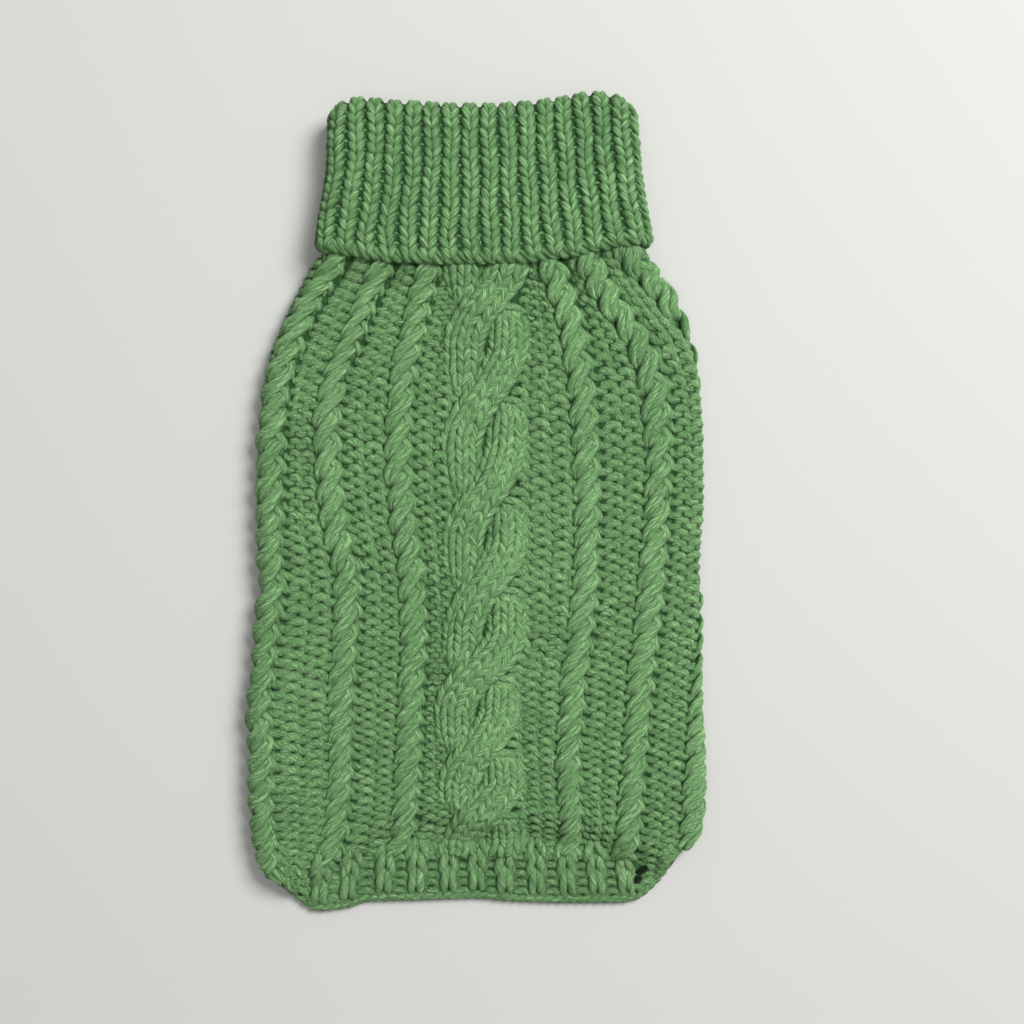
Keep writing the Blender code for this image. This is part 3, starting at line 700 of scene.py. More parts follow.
def wide_cable(yarns, first=-3.0, last=57.6, lift=0.8):
    leg = legs(8)
    for k in range(-2, 7):
        start = CROSSING + REPEAT * k
        rows = start + 0.75 + np.arange(STRAND - 0.6)
        rows = rows[(rows > first) & (rows < last)]
        if not len(rows):
            continue
        for wale in (-1, 0, 1):
            for side in (-1, 1):
                jig = RNG.normal(0, 1, (len(rows), 4))
                v = rows[:, None] + leg[None, :, 1] * 0.98 + 0.05 * jig[:, :1]
                a = wale + side * leg[None, :, 0] + 0.02 * jig[:, 1:2]
                p = v - start
                c = strand_line(start, v)
                d = strand_line(start, v + 0.7) - strand_line(start, v - 0.7)
                t = d / (np.linalg.norm(d, axis=-1, keepdims=True) + 1e-9)
                square = np.stack([-t[..., 1], t[..., 0]], -1)
                A = 0.25 * across("k", v) + 0.75 * square
                A = A / np.linalg.norm(A, axis=-1, keepdims=True)
                lean = np.exp(-((p - 8) / 2.6) ** 2)
                w = 5.45 * (1 - 0.14 * lean) * mix(0.62, 1, smooth(p / 2.4)) * mix(0.5, 1, smooth((STRAND - p) / 2.6))
                q = c + A * (a * w)[..., None]
                z = (leg[None, :, 2] * 0.95 + lift + 0.7 + 2.2 * np.exp(-((p - 8) / 3.6) ** 2)
                     - 2.6 * (1 - smooth((p + 0.2) / 1.5)) - 2.2 * (1 - smooth((STRAND - p + 0.4) / 1.4))
                     - np.where(a * np.sign(8 - p) < 0, 2.9, 1.7) * (np.abs(a) / 1.4) ** 2.2
                     + 0.08 * jig[:, 2:3])
                r = 1.52 * leg[None, :, 3] * (1 + 0.04 * jig[:, 3:4]) * mix(0.86, 1, smooth(w / 5.0))
                lay(yarns, q, z, r, keep=above_hem(q), twist=0.4 * side, flat=(1.0, 0.95))
        # the gathered stitches at the right of a crossing
        if first < start < last - 3:
            for i, (v0, z0) in enumerate(((0.35, 1.1), (1.15, 0.9))):
                t = np.linspace(0, 1, 8)
                v = start + v0 + 0.25 * t - 0.2 * np.sin(math.pi * t)
                q = beside("k", v, 5.0 + 9.8 * t - 0.8 * i)
                z = z0 + 0.9 * np.sin(math.pi * t) - 1.6 * np.abs(2 * t - 1) ** 3
                lay(yarns, q[None], z[None], 1.6 * np.interp(t, [0, 0.2, 0.8, 1], [0.7, 1, 1, 0.7])[None],
                    keep=above_hem(q[None]))


# ------------------------------------------------------------------ the back's ribbed hem
HEM_COLUMNS = [-63.0, -51.6, -37.4, -24.4, -11.2, 0.4, 11.8, 24.4, 36.8, 48.8, 60.8]
HEM_ROW = 5.2
HEM_FAN = [Tail(-70.0, 0.14), Tail(-40.0, 0.08), Tail(0.0, 0.0), Tail(40.0, -0.06), Tail(66.0, -0.12)]


def hem_rib(yarns):
    fan = Curve(HEM_FAN, "x", "y")

    def tilted(x, y):
        return np.stack([x + fan(x) * (y + 158.0), y], -1)

    for x0 in HEM_COLUMNS:
        end = tail_y(x0) + 5.8

        def place(a, v, x0=x0, end=end):
            return tilted(x0 + a, end + (3.0 - v) * HEM_ROW)

        # one leg of every stitch leans each way, and they part downwards
        for rows, length, out, hollow, r in (((0.0,), 0.98, 1.40, 0.0, 1.72), ((1.1,), 1.05, 0.92, 0.12, 1.80),
                                             ((2.40,), 1.15, 0.40, 0.66, 1.80)):
            knit_column(yarns, place, rows, 8.0, r=r, way=-1.0, lift=0.75, spread_to=out, hollow=hollow,
                        slope=length, high=0.85, keep=lambda q: q[..., 1] > tail_y(q[..., 0]) + 0.9)
    for a, b in zip(HEM_COLUMNS, HEM_COLUMNS[1:]):
        def place(T, v, a=a, b=b):
            x0 = mix(a, b, mix(0.18, 0.82, T))
            return tilted(x0, HEM_TOP + 1.6 - v * 3.4)

        loops(yarns, place, 1, np.arange(-1, 8), "hem" + str(a), seg=12, r=1.72, high=0.6,
              keep=lambda q: (q[..., 1] > tail_y(q[..., 0]) + 0.9) & (q[..., 1] < HEM_TOP + 4.5),
              ahead=0.45, after=0.40, sink=(0.5, 0.5), drop=0.5)


def corner(yarns, left, right, stitches, rows):
    """The last courses beside the rib, along the rounded corners of the tail."""
    def place(T, v):
        x = mix(left, right, T / stitches)
        y = tail_y(x) + 2.4 + (rows - 0.5 - v) * 3.9
        return np.stack([unroll(x, y), y], -1)

    loops(yarns, place, stitches, np.arange(0, rows), "corner" + str(left), r=1.7, drop=0.45,
          keep=lambda q: q[..., 1] > tail_y(body(q)[..., 0]) + 0.9)


def cord(yarns, line, r, lay_length, wide, tall, step=1.2, phases=(0.0, math.pi)):
    """Two strands laid round each other along a line (n, 3): a cast-off edge."""
    line = np.asarray(line, float)
    s = np.concatenate([[0], np.cumsum(np.linalg.norm(np.diff(line, axis=0), axis=1))])
    t = np.arange(0, s[-1], step)
    P = np.stack([np.interp(t, s, line[:, i]) for i in range(3)], -1)
    T = np.gradient(P, axis=0)
    T /= np.linalg.norm(T, axis=1, keepdims=True)
    up = np.array([0.0, 0.0, 1.0])
    side = np.cross(T, up)
    for phase in phases:
        a = 2 * math.pi * t / lay_length + phase
        path = P + side * (wide * np.cos(a))[:, None] + up * (tall * np.sin(a))[:, None]
        yarns.add(path, up + 0 * path, np.full(len(t), r), floor=FLOOR)


# ------------------------------------------------------------------ the collar
TURN = (COLLAR_OUT - FOLD_FLAT) / 2
COLLAR_LONG = 58.6           # the outer layer, from its edge to the fold
COLLAR_ROUND = 268.0         # all round, as charted
COLLAR_RIBS, COLLAR_ROW = 34, 4.0
SHARE, BEND = 0.424, 0.076   # of the ring: one flat layer, one side fold


def collar_surface(q):
    """q holds (way round, way up from the loose edge), mm as charted."""
    u = np.mod(q[..., 0] / COLLAR_ROUND, 1.0)
    p = q[..., 1]
    along = np.interp(u, [0, SHARE, SHARE + BEND, 2 * SHARE + BEND, 1], [0, 1, 1, 0, 0])
    angle = np.radians(np.interp(u, [0, SHARE, SHARE + BEND, 2 * SHARE + BEND, 2 * SHARE + BEND + 1e-9, 1],
                                 [90, 90, -90, -90, 270, 90]))
    top = edge_top(along) - HALF - TURN - CORNER_DROP * np.abs(np.cos(angle))
    low = edge_bottom(along)
    turned = np.clip((p - COLLAR_LONG) / TURN, 0, math.pi)
    inner = np.maximum(0, p - COLLAR_LONG - math.pi * TURN)
    rolled = np.clip(-p / 1.5, 0, math.pi)
    y = (mix(low, top, np.clip(p / COLLAR_LONG, 0, 1)) + TURN * np.sin(turned) - inner
         - 1.5 * np.sin(rolled))
    radius = FOLD_FLAT + TURN + TURN * np.cos(turned) - 1.5 * (1 - np.cos(rolled))
    left = collar_left(y) + COLLAR_OUT + HALF
    right = collar_right(y) - COLLAR_OUT - HALF
    return np.stack([mix(left, right, along) + radius * np.cos(angle), y,
                     HALF + COLLAR_OUT + radius * np.sin(angle)], -1)


def collar_ribs(yarns, ribs, n, inside=9.0, high=1.0):
    wide = COLLAR_ROUND / COLLAR_RIBS
    start = COLLAR_LONG + math.pi * TURN + inside
    rows = np.arange(0, (start + 1.6) / COLLAR_ROW - 0.4)
    for rib in ribs:
        def place(a, v, rib=rib):
            p = start - v * COLLAR_ROW
            u = (rib + 0.55) * wide + a + 0.35 * np.sin(v * 0.9 + rib * 1.7)
            return np.stack([u, p], -1)

        leg = legs(n)
        for side in (-1, 1):
            jig = RNG.normal(0, 1, (len(rows), 4))
            v = rows[:, None] + 0.80 * leg[None, :, 1] + 0.04 * jig[:, :1]
            a = side * (0.42 + 7.1 * (leg[None, :, 0] - 0.08)) * (1 + 0.04 * jig[:, 1:2])
            q = place(a, v)
            tight = smooth((q[..., 1] - COLLAR_LONG - 4.0) / 3.0)
            z = leg[None, :, 2] * 1.0 + 0.55 + 0.07 * jig[:, 2:3] - 1.5 * (np.abs(a) / 3.0) ** 3
            z = z * high - 1.1 * tight
            size = 1.46 * leg[None, :, 3] * (1 + 0.04 * jig[:, 3:4]) * (1 - 0.25 * tight)
            lay(yarns, q, z, size, surface=collar_surface, twist=0.25 * side, flat=(1.04, 0.98))


def collar_grooves(yarns, ribs, n=6):
    """The heads of the purl stitches, deep between the ribs of the outer layer."""
    wide = COLLAR_ROUND / COLLAR_RIBS
    t = np.linspace(-1, 1, n)[None]
    for rib in ribs:
        p = np.arange(4.2, COLLAR_LONG + 1.0, COLLAR_ROW)[:, None]
        jig = RNG.normal(0, 1, (len(p), 2))
        u = (rib + 0.05) * wide + 2.3 * t + 0.15 * jig[:, :1]
        q = np.stack([u, p + 0.9 - 0.9 * t ** 2 + 0.15 * jig[:, 1:2]], -1)
        z = -0.12 - 0.55 * np.abs(t) ** 2.5 + 0 * u
        r = 1.10 * np.interp(t[0], [-1, -0.6, 0.6, 1], [0.75, 1, 1, 0.75])[None] + 0 * u
        lay(yarns, q, z, r, surface=collar_surface, twist=0.3)


def collar_edge(yarns, first, last, n=9):
    """The cast-off chain round the collar's loose edge."""
    wide = COLLAR_ROUND / COLLAR_RIBS / 2
    link = np.arange(first * 2, last * 2, 1.0)
    t = np.linspace(0, 1, n)[None]
    jig = RNG.normal(0, 1, (len(link), 2))
    u = (link[:, None] + 0.6) * wide + 9.2 * (t - 0.5)
    p = mix(2.4, -2.0, smooth(t * 1.0)) + 0.2 * jig[:, :1]
    z = 0.15 - 1.3 * np.abs(2 * t - 1) ** 2.5 + 0 * u + 0.1 * jig[:, 1:2]
    r = 1.62 * np.interp(t[0], [0, 0.2, 0.8, 1], [0.6, 1, 1, 0.6])[None] + 0 * u
    lay(yarns, np.stack([u, p], -1), z, r, surface=collar_surface, twist=0.3)


# ------------------------------------------------------------------ the underside
def belly_left(y):
    left, right, r = fold_ends(y)
    return left - HALF - r + WRAP + SEAM


def belly_right(y):
    left, right, r = fold_ends(y)
    return right + HALF + r - WRAP - SEAM


def belly_surface(q):
    """q holds (-x, y): mirrored, so that outward is down."""
    x, y = -q[..., 0], q[..., 1]
    return np.stack([x, y, HALF + neck_lift(x, y)], -1)


def leg_middle(side):
    return (belly_left(LEG_Y) + belly_right(LEG_Y)) / 2 + side * LEG_X, LEG_Y


BELLY_WALES, BELLY_ROWS = 20, 45


def belly_place(T, v):
    """Chart of the belly: wales from its left seam, courses from the neck down."""
    f = T / BELLY_WALES
    y = 104.0 - (v / BELLY_ROWS) * 210.0
    for _ in range(3):
        x = mix(belly_left(y), belly_right(y), f)
        y = mix(collar_bottom(x) + 8.5, arch(x) + BELLY_RIB + 0.6, v / BELLY_ROWS)
    return np.stack([-x, y], -1)


def off_bands(q):
    x, y = -q[..., 0], q[..., 1]
    out = np.ones(x.shape, bool)
    for side in (-1, 1):
        x0, y0 = leg_middle(side)
        rx, ry = LEG_OPEN[0] + LEG_BAND + 0.8, LEG_OPEN[1] + LEG_BAND + 0.8
        out &= ((x - x0) / rx) ** 2 + ((y - y0) / ry) ** 2 > 1
    return out


def belly_yarn(yarns, first, last):
    """Two knit wales, two purl wales, all round the belly."""
    rows = np.arange(0, BELLY_ROWS)
    for pair in range(first, last):
        if pair % 2 == 0:
            for wale in (2 * pair, 2 * pair + 1):
                def place(a, v, wale=wale):
                    T = wale + 0.5 + a / 7.4
                    return belly_place(T, v)

                knit_column(yarns, place, rows + 0.5, 7.0, r=1.22, surface=belly_surface, keep=off_bands,
                            n=6, lift=-0.35, high=0.6)
        else:
            def place(T, v, pair=pair):
                return belly_place(2 * pair + T, v)

            loops(yarns, place, 2, rows, "belly" + str(pair), surface=belly_surface, keep=off_bands,
                  seg=10, r=1.3, high=0.45, ahead=0.3, after=0.25, sink=(0.6, 0.6), drop=0.45)


def belly_rib(yarns):
    for wale in range(0, BELLY_WALES):
        def place(a, v, wale=wale):
            T = wale + 0.5 + a / 7.4
            f = T / BELLY_WALES
            y = arch(mix(-76.0, 76.0, f)) + 6.0
            x = mix(belly_left(y), belly_right(y), f)
            y = arch(x) + BELLY_RIB + 0.5 - v * 4.1
            return np.stack([-x, y], -1)

        knit_column(yarns, place, [0.4, 1.4, 2.3], 5.4, r=1.3, surface=belly_surface, n=6,
                    lift=-0.3, high=0.6, hollow=0.3)


def band(yarns, side, n=7):
    x0, y0 = leg_middle(side)
    count = 22
    for rib in range(count):
        def place(a, v, rib=rib):
            step = 1.02 - v * 0.43
            rx, ry = LEG_OPEN[0] + LEG_BAND * step, LEG_OPEN[1] + LEG_BAND * step
            angle = 2 * math.pi * (rib + a / 7.1) / count
            return np.stack([-(x0 + rx * np.cos(angle)), y0 + ry * np.sin(angle)], -1)

        knit_column(yarns, place, [0.2, 1.2, 2.0], 6.0, r=1.3, surface=belly_surface, n=n,
                    lift=-0.2, high=0.6, hollow=0.3)
    a = np.linspace(0, 2 * math.pi * 1.01, 160)
    rx, ry = LEG_OPEN[0] + 0.6, LEG_OPEN[1] + 0.6
    cord(yarns, np.stack([x0 + rx * np.cos(a), y0 + ry * np.sin(a), 1.9 + 0 * a], -1), 1.15, 7.0, 0.8, 0.6)


# ------------------------------------------------------------------ materials
def nodes_of(mat):
    mat.use_nodes = True
    tree = mat.node_tree
    return tree, tree.nodes, tree.links


def ramp(nodes, stops):
    node = nodes.new("ShaderNodeValToRGB")
    e = node.color_ramp.elements
    e[0].position, e[0].color = stops[0][0], (*stops[0][1], 1)
    e[1].position, e[1].color = stops[-1][0], (*stops[-1][1], 1)
    for at, colour in stops[1:-1]:
        new = e.new(at)
        new.color = (*colour, 1)
    return node


def yarn_material(name, base, dark=0.48, light=1.95):
    """Soft yarn of many fine plies: streaks along the yarn, in colour and relief; the colour streaks are partly the
    plies' own tone, partly painted highlights (the light, yellower ones) and painted shade (the dark ones).
    """
    mat = bpy.data.materials.new(name)
    tree, nodes, links = nodes_of(mat)
    shader = nodes["Principled BSDF"]
    shader.inputs["Roughness"].default_value = 0.92
    shader.inputs["Specular IOR Level"].default_value = 0.18
    shader.inputs["Sheen Weight"].default_value = 0.16
    shader.inputs["Sheen Roughness"].default_value = 0.45
    shader.inputs["Sheen Tint"].default_value = (0.75, 0.95, 0.70, 1)
    place = nodes.new("ShaderNodeAttribute")
    place.attribute_name = "yarn"
    plies = nodes.new("ShaderNodeMapping")
    plies.inputs["Scale"].default_value = (1.75, 1.75, 0.17)
    links.new(place.outputs["Vector"], plies.inputs["Vector"])
    streak = nodes.new("ShaderNodeTexNoise")
    streak.inputs["Scale"].default_value = 1.0
    streak.inputs["Detail"].default_value = 2.0
    streak.inputs["Roughness"].default_value = 0.55
    links.new(plies.outputs["Vector"], streak.inputs["Vector"])
    c = base
    # streak colour: partly the plies' own tone, partly painted highlights on the fibres and painted shade between the
    # plies
    colour = ramp(nodes, [
        (0.32, (c[0] * dark, c[1] * (dark + 0.06), c[2] * dark)),
        (0.43, (c[0] * 0.84, c[1] * 0.88, c[2] * 0.84)),
        (0.55, (c[0] * 1.10, c[1] * 1.06, c[2] * 1.1)),
        (0.66, (c[0] * light, c[1] * (light - 0.22), c[2] * (light - 0.03))),
    ])
    links.new(streak.outputs["Fac"], colour.inputs["Fac"])
    # slow drift of dye and wear over the cloth
    where = nodes.new("ShaderNodeTexCoord")
    slow = nodes.new("ShaderNodeTexNoise")
    slow.inputs["Scale"].default_value = 38.0
    slow.inputs["Detail"].default_value = 2.0
    links.new(where.outputs["Object"], slow.inputs["Vector"])
    drift = ramp(nodes, [(0.3, (0.90, 0.92, 0.90)), (0.7, (1.08, 1.06, 1.06))])
    links.new(slow.outputs["Fac"], drift.inputs["Fac"])
    both = nodes.new("ShaderNodeMix")
    both.data_type, both.blend_type = "RGBA", "MULTIPLY"
    both.inputs["Factor"].default_value = 1.0
    links.new(colour.outputs["Color"], both.inputs["A"])
    links.new(drift.outputs["Color"], both.inputs["B"])
    # painted shade and light from the shade attribute: darker on each strand's sides and underside and low in the
    # fabric, lighter on its top, the shade a more saturated green
    lie = nodes.new("ShaderNodeAttribute")
    lie.attribute_name = "shade"
    apart = nodes.new("ShaderNodeSeparateXYZ")
    links.new(lie.outputs["Vector"], apart.inputs["Vector"])
    last = both.outputs["Result"]
    for axis, low, high, stops in (
            ("X", -0.6, 1.0, [(0.0, 0.16), (0.42, 0.42), (0.68, 0.90), (1.0, 1.10)]),
            ("Y", -1.2, 2.8, [(0.0, 0.25), (0.5, 0.72), (0.85, 1.0), (1.0, 1.07)])):
        span_of = nodes.new("ShaderNodeMapRange")
        span_of.inputs["From Min"].default_value = low
        span_of.inputs["From Max"].default_value = high
        links.new(apart.outputs[axis], span_of.inputs["Value"])
        painted_shade_tone = ramp(nodes, [(at, (v - 0.20 * max(0, 1 - v), v, v - 0.24 * max(0, 1 - v))) for at, v in stops])
        links.new(span_of.outputs["Result"], painted_shade_tone.inputs["Fac"])
        times = nodes.new("ShaderNodeMix")
        times.data_type, times.blend_type = "RGBA", "MULTIPLY"
        times.inputs["Factor"].default_value = 1.0
        links.new(last, times.inputs["A"])
        links.new(painted_shade_tone.outputs["Color"], times.inputs["B"])
        last = times.outputs["Result"]
    links.new(last, shader.inputs["Base Color"])
    fine = nodes.new("ShaderNodeMapping")
    fine.inputs["Scale"].default_value = (5.2, 5.2, 0.6)
    links.new(place.outputs["Vector"], fine.inputs["Vector"])
    hair = nodes.new("ShaderNodeTexNoise")
    hair.inputs["Scale"].default_value = 1.0
    hair.inputs["Detail"].default_value = 2.0
    links.new(fine.outputs["Vector"], hair.inputs["Vector"])
    height = nodes.new("ShaderNodeMath")
    height.operation = "MULTIPLY_ADD"
    height.inputs[1].default_value = 0.35
    links.new(hair.outputs["Fac"], height.inputs[0])
    links.new(streak.outputs["Fac"], height.inputs[2])
    bump = nodes.new("ShaderNodeBump")
    bump.inputs["Strength"].default_value = 1.0
    bump.inputs["Distance"].default_value = 0.0008
    links.new(height.outputs["Value"], bump.inputs["Height"])
    links.new(bump.outputs["Normal"], shader.inputs["Normal"])
    return mat


def under_material(name, base):
    """The backs of the stitches, deep between the yarns: a dark sheet of painted shade showing through the gaps."""
    mat = bpy.data.materials.new(name)
    tree, nodes, links = nodes_of(mat)
    shader = nodes["Principled BSDF"]
    shader.inputs["Roughness"].default_value = 0.95
    shader.inputs["Specular IOR Level"].default_value = 0.1
    where = nodes.new("ShaderNodeTexCoord")
    noise = nodes.new("ShaderNodeTexNoise")
    noise.inputs["Scale"].default_value = 520.0
    noise.inputs["Detail"].default_value = 2.0
    links.new(where.outputs["Object"], noise.inputs["Vector"])
    colour = ramp(nodes, [(0.35, tuple(0.6 * b for b in base)), (0.65, tuple(1.3 * b for b in base))])
    links.new(noise.outputs["Fac"], colour.inputs["Fac"])
    links.new(colour.outputs["Color"], shader.inputs["Base Color"])
    bump = nodes.new("ShaderNodeBump")
    bump.inputs["Strength"].default_value = 0.8
    bump.inputs["Distance"].default_value = 0.0008
    links.new(noise.outputs["Fac"], bump.inputs["Height"])
    links.new(bump.outputs["Normal"], shader.inputs["Normal"])
    return mat


GREEN = (0.142, 0.286, 0.115)
body_yarn = yarn_material("body_yarn_green", GREEN)
rib_yarn = yarn_material("rib_yarn_green", tuple(0.94 * c for c in GREEN))
collar_yarn = yarn_material("collar_yarn_green", tuple(0.97 * c for c in GREEN))
# painted shade: the backing shells under all the yarn are much darker than the yarn, standing in for the shade between
# the stitches
deep = under_material("yarn_backs", (0.030, 0.088, 0.028))


# ------------------------------------------------------------------ thin shells of the cloth
def shell(name, P, N, thick, material, closed=False, keep=None):
    """A thin closed wall over a grid of points (rows, columns, 3)."""
    rows, cols, _ = P.shape
    A, B = P + N * thick / 2, P - N * thick / 2
    V = np.concatenate([A.reshape(-1, 3), B.reshape(-1, 3)])
    V[:, 2] = np.maximum(V[:, 2], FLOOR)
    half = rows * cols
    faces, edges = [], {}
    for r in range(rows - 1):
        for c in range(cols if closed else cols - 1):
            if keep is not None and not keep[r, c]:
                continue
            d = (c + 1) % cols
            ring = (r * cols + c, r * cols + d, (r + 1) * cols + d, (r + 1) * cols + c)
            faces.append(ring)
            faces.append(tuple(half + i for i in reversed(ring)))
            for i in range(4):
                e = (ring[i], ring[(i + 1) % 4])
                if (e[1], e[0]) in edges:
                    del edges[(e[1], e[0])]
                else:
                    edges[e] = True
    for a, b in edges:
        faces.append((half + a, half + b, b, a))
    used = sorted({i for f in faces for i in f})
    new = {old: i for i, old in enumerate(used)}
    data = bpy.data.meshes.new(name)
    data.from_pydata(((V[used] + (0.0, CENTRE_Y, 0.0)) * MM).tolist(), [], [tuple(new[i] for i in f) for f in faces])
    data.update()
    mesh = bmesh.new()
    mesh.from_mesh(data)
    bmesh.ops.recalc_face_normals(mesh, faces=mesh.faces)
    mesh.to_mesh(data)
    mesh.free()
    data.materials.append(material)
    data.shade_smooth()
    thing = bpy.data.objects.new(name, data)
    bpy.context.scene.collection.objects.link(thing)
    print(name, "triangles", sum(len(p.vertices) - 2 for p in data.polygons))
    return thing


def grid(rows, cols):
    return (np.linspace(0, 1, rows)[:, None] + np.zeros((1, cols)),
            np.linspace(0, 1, cols)[None] + np.zeros((rows, 1)))


def span(y):
    """X of the back's two side seams at y."""
    left, right, r = fold_ends(y)
    reach = math.pi * r + (WRAP - HALF - r)
    return left - reach, right + reach


THIN = 1.5


def back_grid(rows=78, cols=84):
    """Rows from the neck seam to the tail; the last ones stop at the hem's rib."""
    f, g = grid(rows, cols)
    y = 106.0 - f * 265.0
    for _ in range(4):
        lx, rx = span(y)
        X = mix(lx, rx, g)
        x = body(np.stack([X, y], -1))[..., 0]
        end = np.where((X > HEM_LEFT) & (X < HEM_RIGHT), HEM_TOP, tail_y(x) + 2.0)
        y = mix(collar_bottom(np.clip(x, -60.0, 66.0)) + 8.0, end, f)
    return np.stack([X, y], -1)


q = back_grid()
back_base = shell("back_base", body(q), normals(body, q), THIN, deep)

f, g = grid(8, 44)
X = mix(HEM_LEFT, HEM_RIGHT, g)
q = np.stack([X, mix(HEM_TOP - SEAM, tail_y(X) + 1.6, f)], -1)
hem_base = shell("back_hem_base", body(q), normals(body, q), THIN, deep)

f, g = grid(34, 120)
q = np.stack([g * COLLAR_ROUND * 119 / 120, mix(0.8, COLLAR_LONG * 2 + math.pi * TURN - 11.0, f)], -1)
collar_base = shell("collar_base", collar_surface(q), normals(collar_surface, q), THIN, deep, closed=True)

f, g = grid(110, 76)
q = belly_place(g * BELLY_WALES, f * BELLY_ROWS)
x, y = -q[..., 0], q[..., 1].copy()
inside = np.zeros(x.shape, bool)
for side in (-1, 1):
    x0, y0 = leg_middle(side)
    rx, ry = LEG_OPEN[0] + LEG_BAND + SEAM, LEG_OPEN[1] + LEG_BAND + SEAM
    d = np.sqrt(((x - x0) / rx) ** 2 + ((y - y0) / ry) ** 2)
    within = d < 1.0
    near = within & ~(np.roll(within, 1, 0) & np.roll(within, -1, 0) & np.roll(within, 1, 1)
                      & np.roll(within, -1, 1))
    x = np.where(near, x0 + (x - x0) / np.maximum(d, 0.1), x)
    y = np.where(near, y0 + (y - y0) / np.maximum(d, 0.1), y)
    inside |= within & ~near
cells = ~(inside[:-1, :-1] | inside[1:, :-1] | inside[:-1, 1:] | inside[1:, 1:])
q = np.stack([-x, y], -1)
belly_base = shell("belly_base", belly_surface(q), np.array([0.0, 0.0, -1.0]) + 0 * belly_surface(q),
                   THIN, deep, keep=cells)

f, g = grid(5, 60)
y = arch(mix(-76.0, 76.0, g)) + 6.0
X = mix(belly_left(y), belly_right(y), g)
P = np.stack([X, arch(X) + mix(BELLY_RIB, 0.8, f), HALF + 0 * X], -1)
belly_hem_base = shell("belly_hem_base", P, np.array([0.0, 0.0, -1.0]) + 0 * P, THIN, deep)

band_bases = []
for side, label in ((-1, "left"), (1, "right")):
    x0, y0 = leg_middle(side)
    f, g = grid(4, 64)
    a = 2 * math.pi * g * 63 / 64
    rx, ry = LEG_OPEN[0] + LEG_BAND * mix(0.06, 1, f), LEG_OPEN[1] + LEG_BAND * mix(0.06, 1, f)
    P = np.stack([x0 + rx * np.cos(a), y0 + ry * np.sin(a), HALF + 0 * a], -1)
    band_bases.append(shell("leg_band_base_" + label, P, np.array([0.0, 0.0, -1.0]) + 0 * P, THIN, deep,
                            closed=True))

# ------------------------------------------------------------------ the yarn
left_ground, right_ground = Yarns(8), Yarns(8)
for ground in GROUNDS:
    purl_ground(left_ground if ground.name in ("under_left", "a", "b", "c") else right_ground, ground)


def under_right(T, v):
    f = T[..., None]
    return beside("6", v, BEFORE_PURL - 1.0) * (1 - f) + seam_line(1, v) * f


for rows in (np.arange(-1, 4), np.arange(35, 61)):
    loops(right_ground, under_right, 1, rows, "under_right", keep=above_hem)
corner(left_ground, -80.0, -54.0, 4, 4)
corner(right_ground, 60.0, 79.0, 3, 2)
left_ground = left_ground.make("back_purl_left", body_yarn)
right_ground = right_ground.make("back_purl_right", body_yarn)

cables = Yarns(8)
for name in "123456":
    narrow_cable(cables, name)
cables = cables.make("back_narrow_cables", body_yarn)

rope = Yarns(8)
wide_cable(rope)
rope = rope.make("back_wide_cable", body_yarn)

hem = Yarns(8)
hem_rib(hem)
xs = np.linspace(-82.5, 83.0, 300)
edge_line = np.stack([xs, tail_y(xs) + 1.5, 1.9 + 0 * xs], -1)
cord(hem, edge_line, 1.25, 7.4, 0.75, 0.45)
hem = hem.make("back_hem_yarn", rib_yarn)

collar_top = Yarns(8)
top_ribs = list(range(-1, 16))
collar_ribs(collar_top, top_ribs, 8)
collar_grooves(collar_top, range(-1, 17))
collar_edge(collar_top, -1, 16)
collar_top = collar_top.make("collar_yarn_upper", collar_yarn)
collar_under = Yarns(6)
collar_ribs(collar_under, [r for r in range(COLLAR_RIBS) if r not in top_ribs and r - COLLAR_RIBS not in top_ribs],
            6, inside=6.0, high=0.6)
collar_under = collar_under.make("collar_yarn_lower", collar_yarn)

belly_a, belly_b = Yarns(6), Yarns(6)
belly_yarn(belly_a, 0, 5)
belly_yarn(belly_b, 5, 10)
belly_a = belly_a.make("belly_yarn_left", body_yarn)
belly_b = belly_b.make("belly_yarn_right", body_yarn)

belly_hem = Yarns(6)
belly_rib(belly_hem)
xs = np.linspace(-75.0, 76.0, 200)
cord(belly_hem, np.stack([xs, arch(xs) + 1.4, 1.9 + 0 * xs], -1), 1.1, 7.0, 0.7, 0.5)
belly_hem = belly_hem.make("belly_hem_yarn", rib_yarn)

bands = []
for side, label in ((-1, "left"), (1, "right")):
    ring = Yarns(6)
    band(ring, side)
    bands.append(ring.make("leg_band_yarn_" + label, rib_yarn))

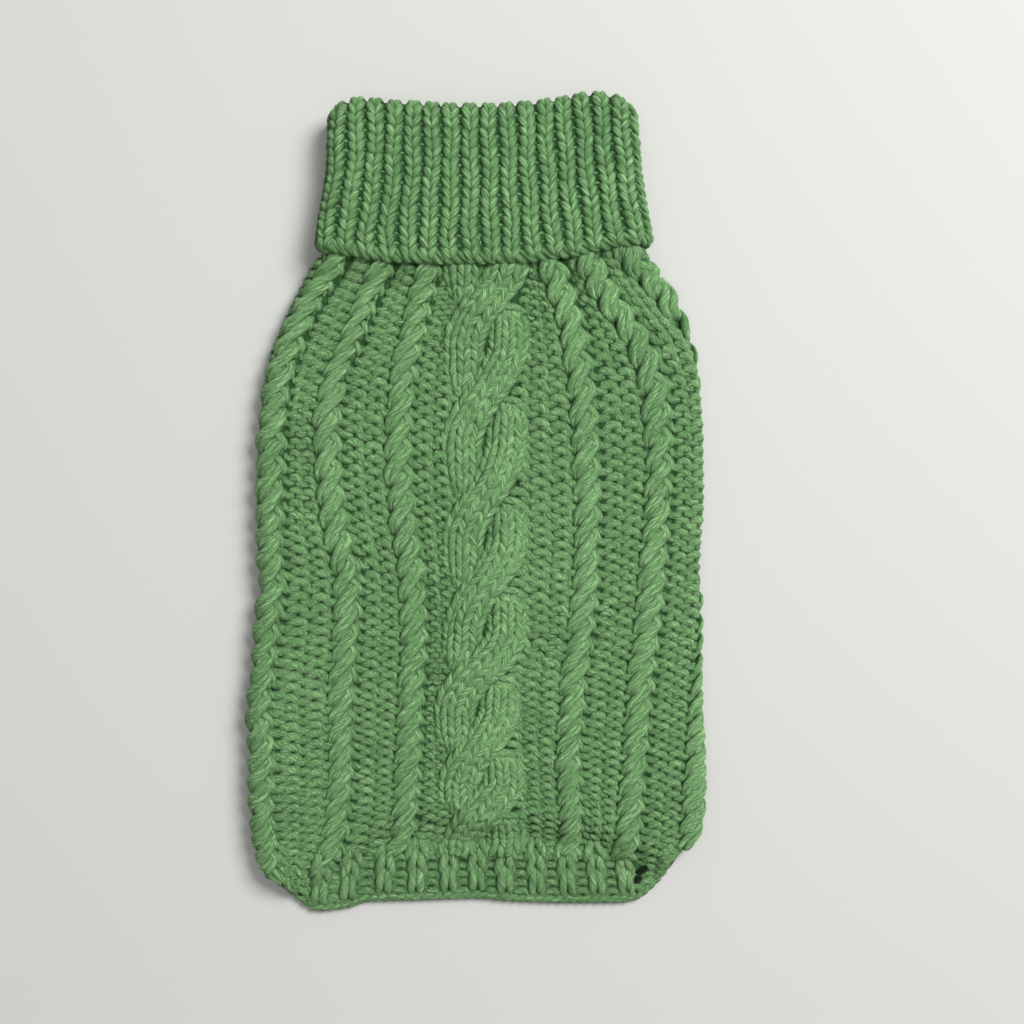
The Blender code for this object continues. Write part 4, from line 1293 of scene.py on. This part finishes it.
# ------------------------------------------------------------------ floor, light, camera
def stage():
    size = 4.0
    data = bpy.data.meshes.new("floor")
    data.from_pydata([(-size, -size, 0), (size, -size, 0), (size, size, 0), (-size, size, 0)], [], [(0, 1, 2, 3)])
    floor = bpy.data.objects.new("floor", data)
    bpy.context.scene.collection.objects.link(floor)
    mat = bpy.data.materials.new("pale_surface")
    tree, nodes, links = nodes_of(mat)
    shader = nodes["Principled BSDF"]
    shader.inputs["Base Color"].default_value = (0.600, 0.603, 0.575, 1)
    shader.inputs["Roughness"].default_value = 0.7
    shader.inputs["Specular IOR Level"].default_value = 0.2
    data.materials.append(mat)
    world = bpy.data.worlds.new("studio")
    bpy.context.scene.world = world
    world.use_nodes = True
    world.node_tree.nodes["Background"].inputs[0].default_value = (1.0, 1.0, 0.99, 1)
    world.node_tree.nodes["Background"].inputs[1].default_value = 0.36

    def area(name, place, size, energy, target=(0, 0, 0)):
        light = bpy.data.lights.new(name, "AREA")
        light.size, light.energy = size, energy
        thing = bpy.data.objects.new(name, light)
        bpy.context.scene.collection.objects.link(thing)
        thing.location = place
        thing.rotation_euler = (Vector(target) - Vector(place)).to_track_quat("-Z", "Y").to_euler()

    area("key", (1.08, 0.87, 1.50), 0.92, 47.0)
    area("fill", (-0.1, -0.3, 1.3), 0.9, 1.5)
    cam = bpy.data.cameras.new("camera")
    cam.lens, cam.sensor_width, cam.sensor_fit = 50.0, 36.0, "AUTO"
    cam.clip_start, cam.clip_end = 0.02, 20.0
    camera = bpy.data.objects.new("camera", cam)
    bpy.context.scene.collection.objects.link(camera)
    camera.location = (CAMERA_X * MM, (CAMERA_Y + CENTRE_Y) * MM, CAMERA_HIGH * MM)
    bpy.context.scene.camera = camera
    bpy.context.scene.view_settings.view_transform = "Standard"
    bpy.context.scene.view_settings.look = "None"


stage()

# ------------------------------------------------------------------ parent every piece to the root body, hide the CAD parts it replaces
SLOTS = {
    "body_yarn": [back_base, left_ground, right_ground, cables, rope, belly_base, belly_a, belly_b],
    "rib_yarn": [hem_base, hem, belly_hem_base, belly_hem] + band_bases + bands,
    "collar_yarn": [collar_base, collar_top, collar_under],
}
for slot, things in SLOTS.items():
    for thing in things:
        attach(thing, "root")

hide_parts("back_panel")
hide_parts("back_hem_rib")
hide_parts("belly_panel")
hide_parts("belly_hem_rib")
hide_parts("leg_band_left")
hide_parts("leg_band_right")
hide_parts("collar")
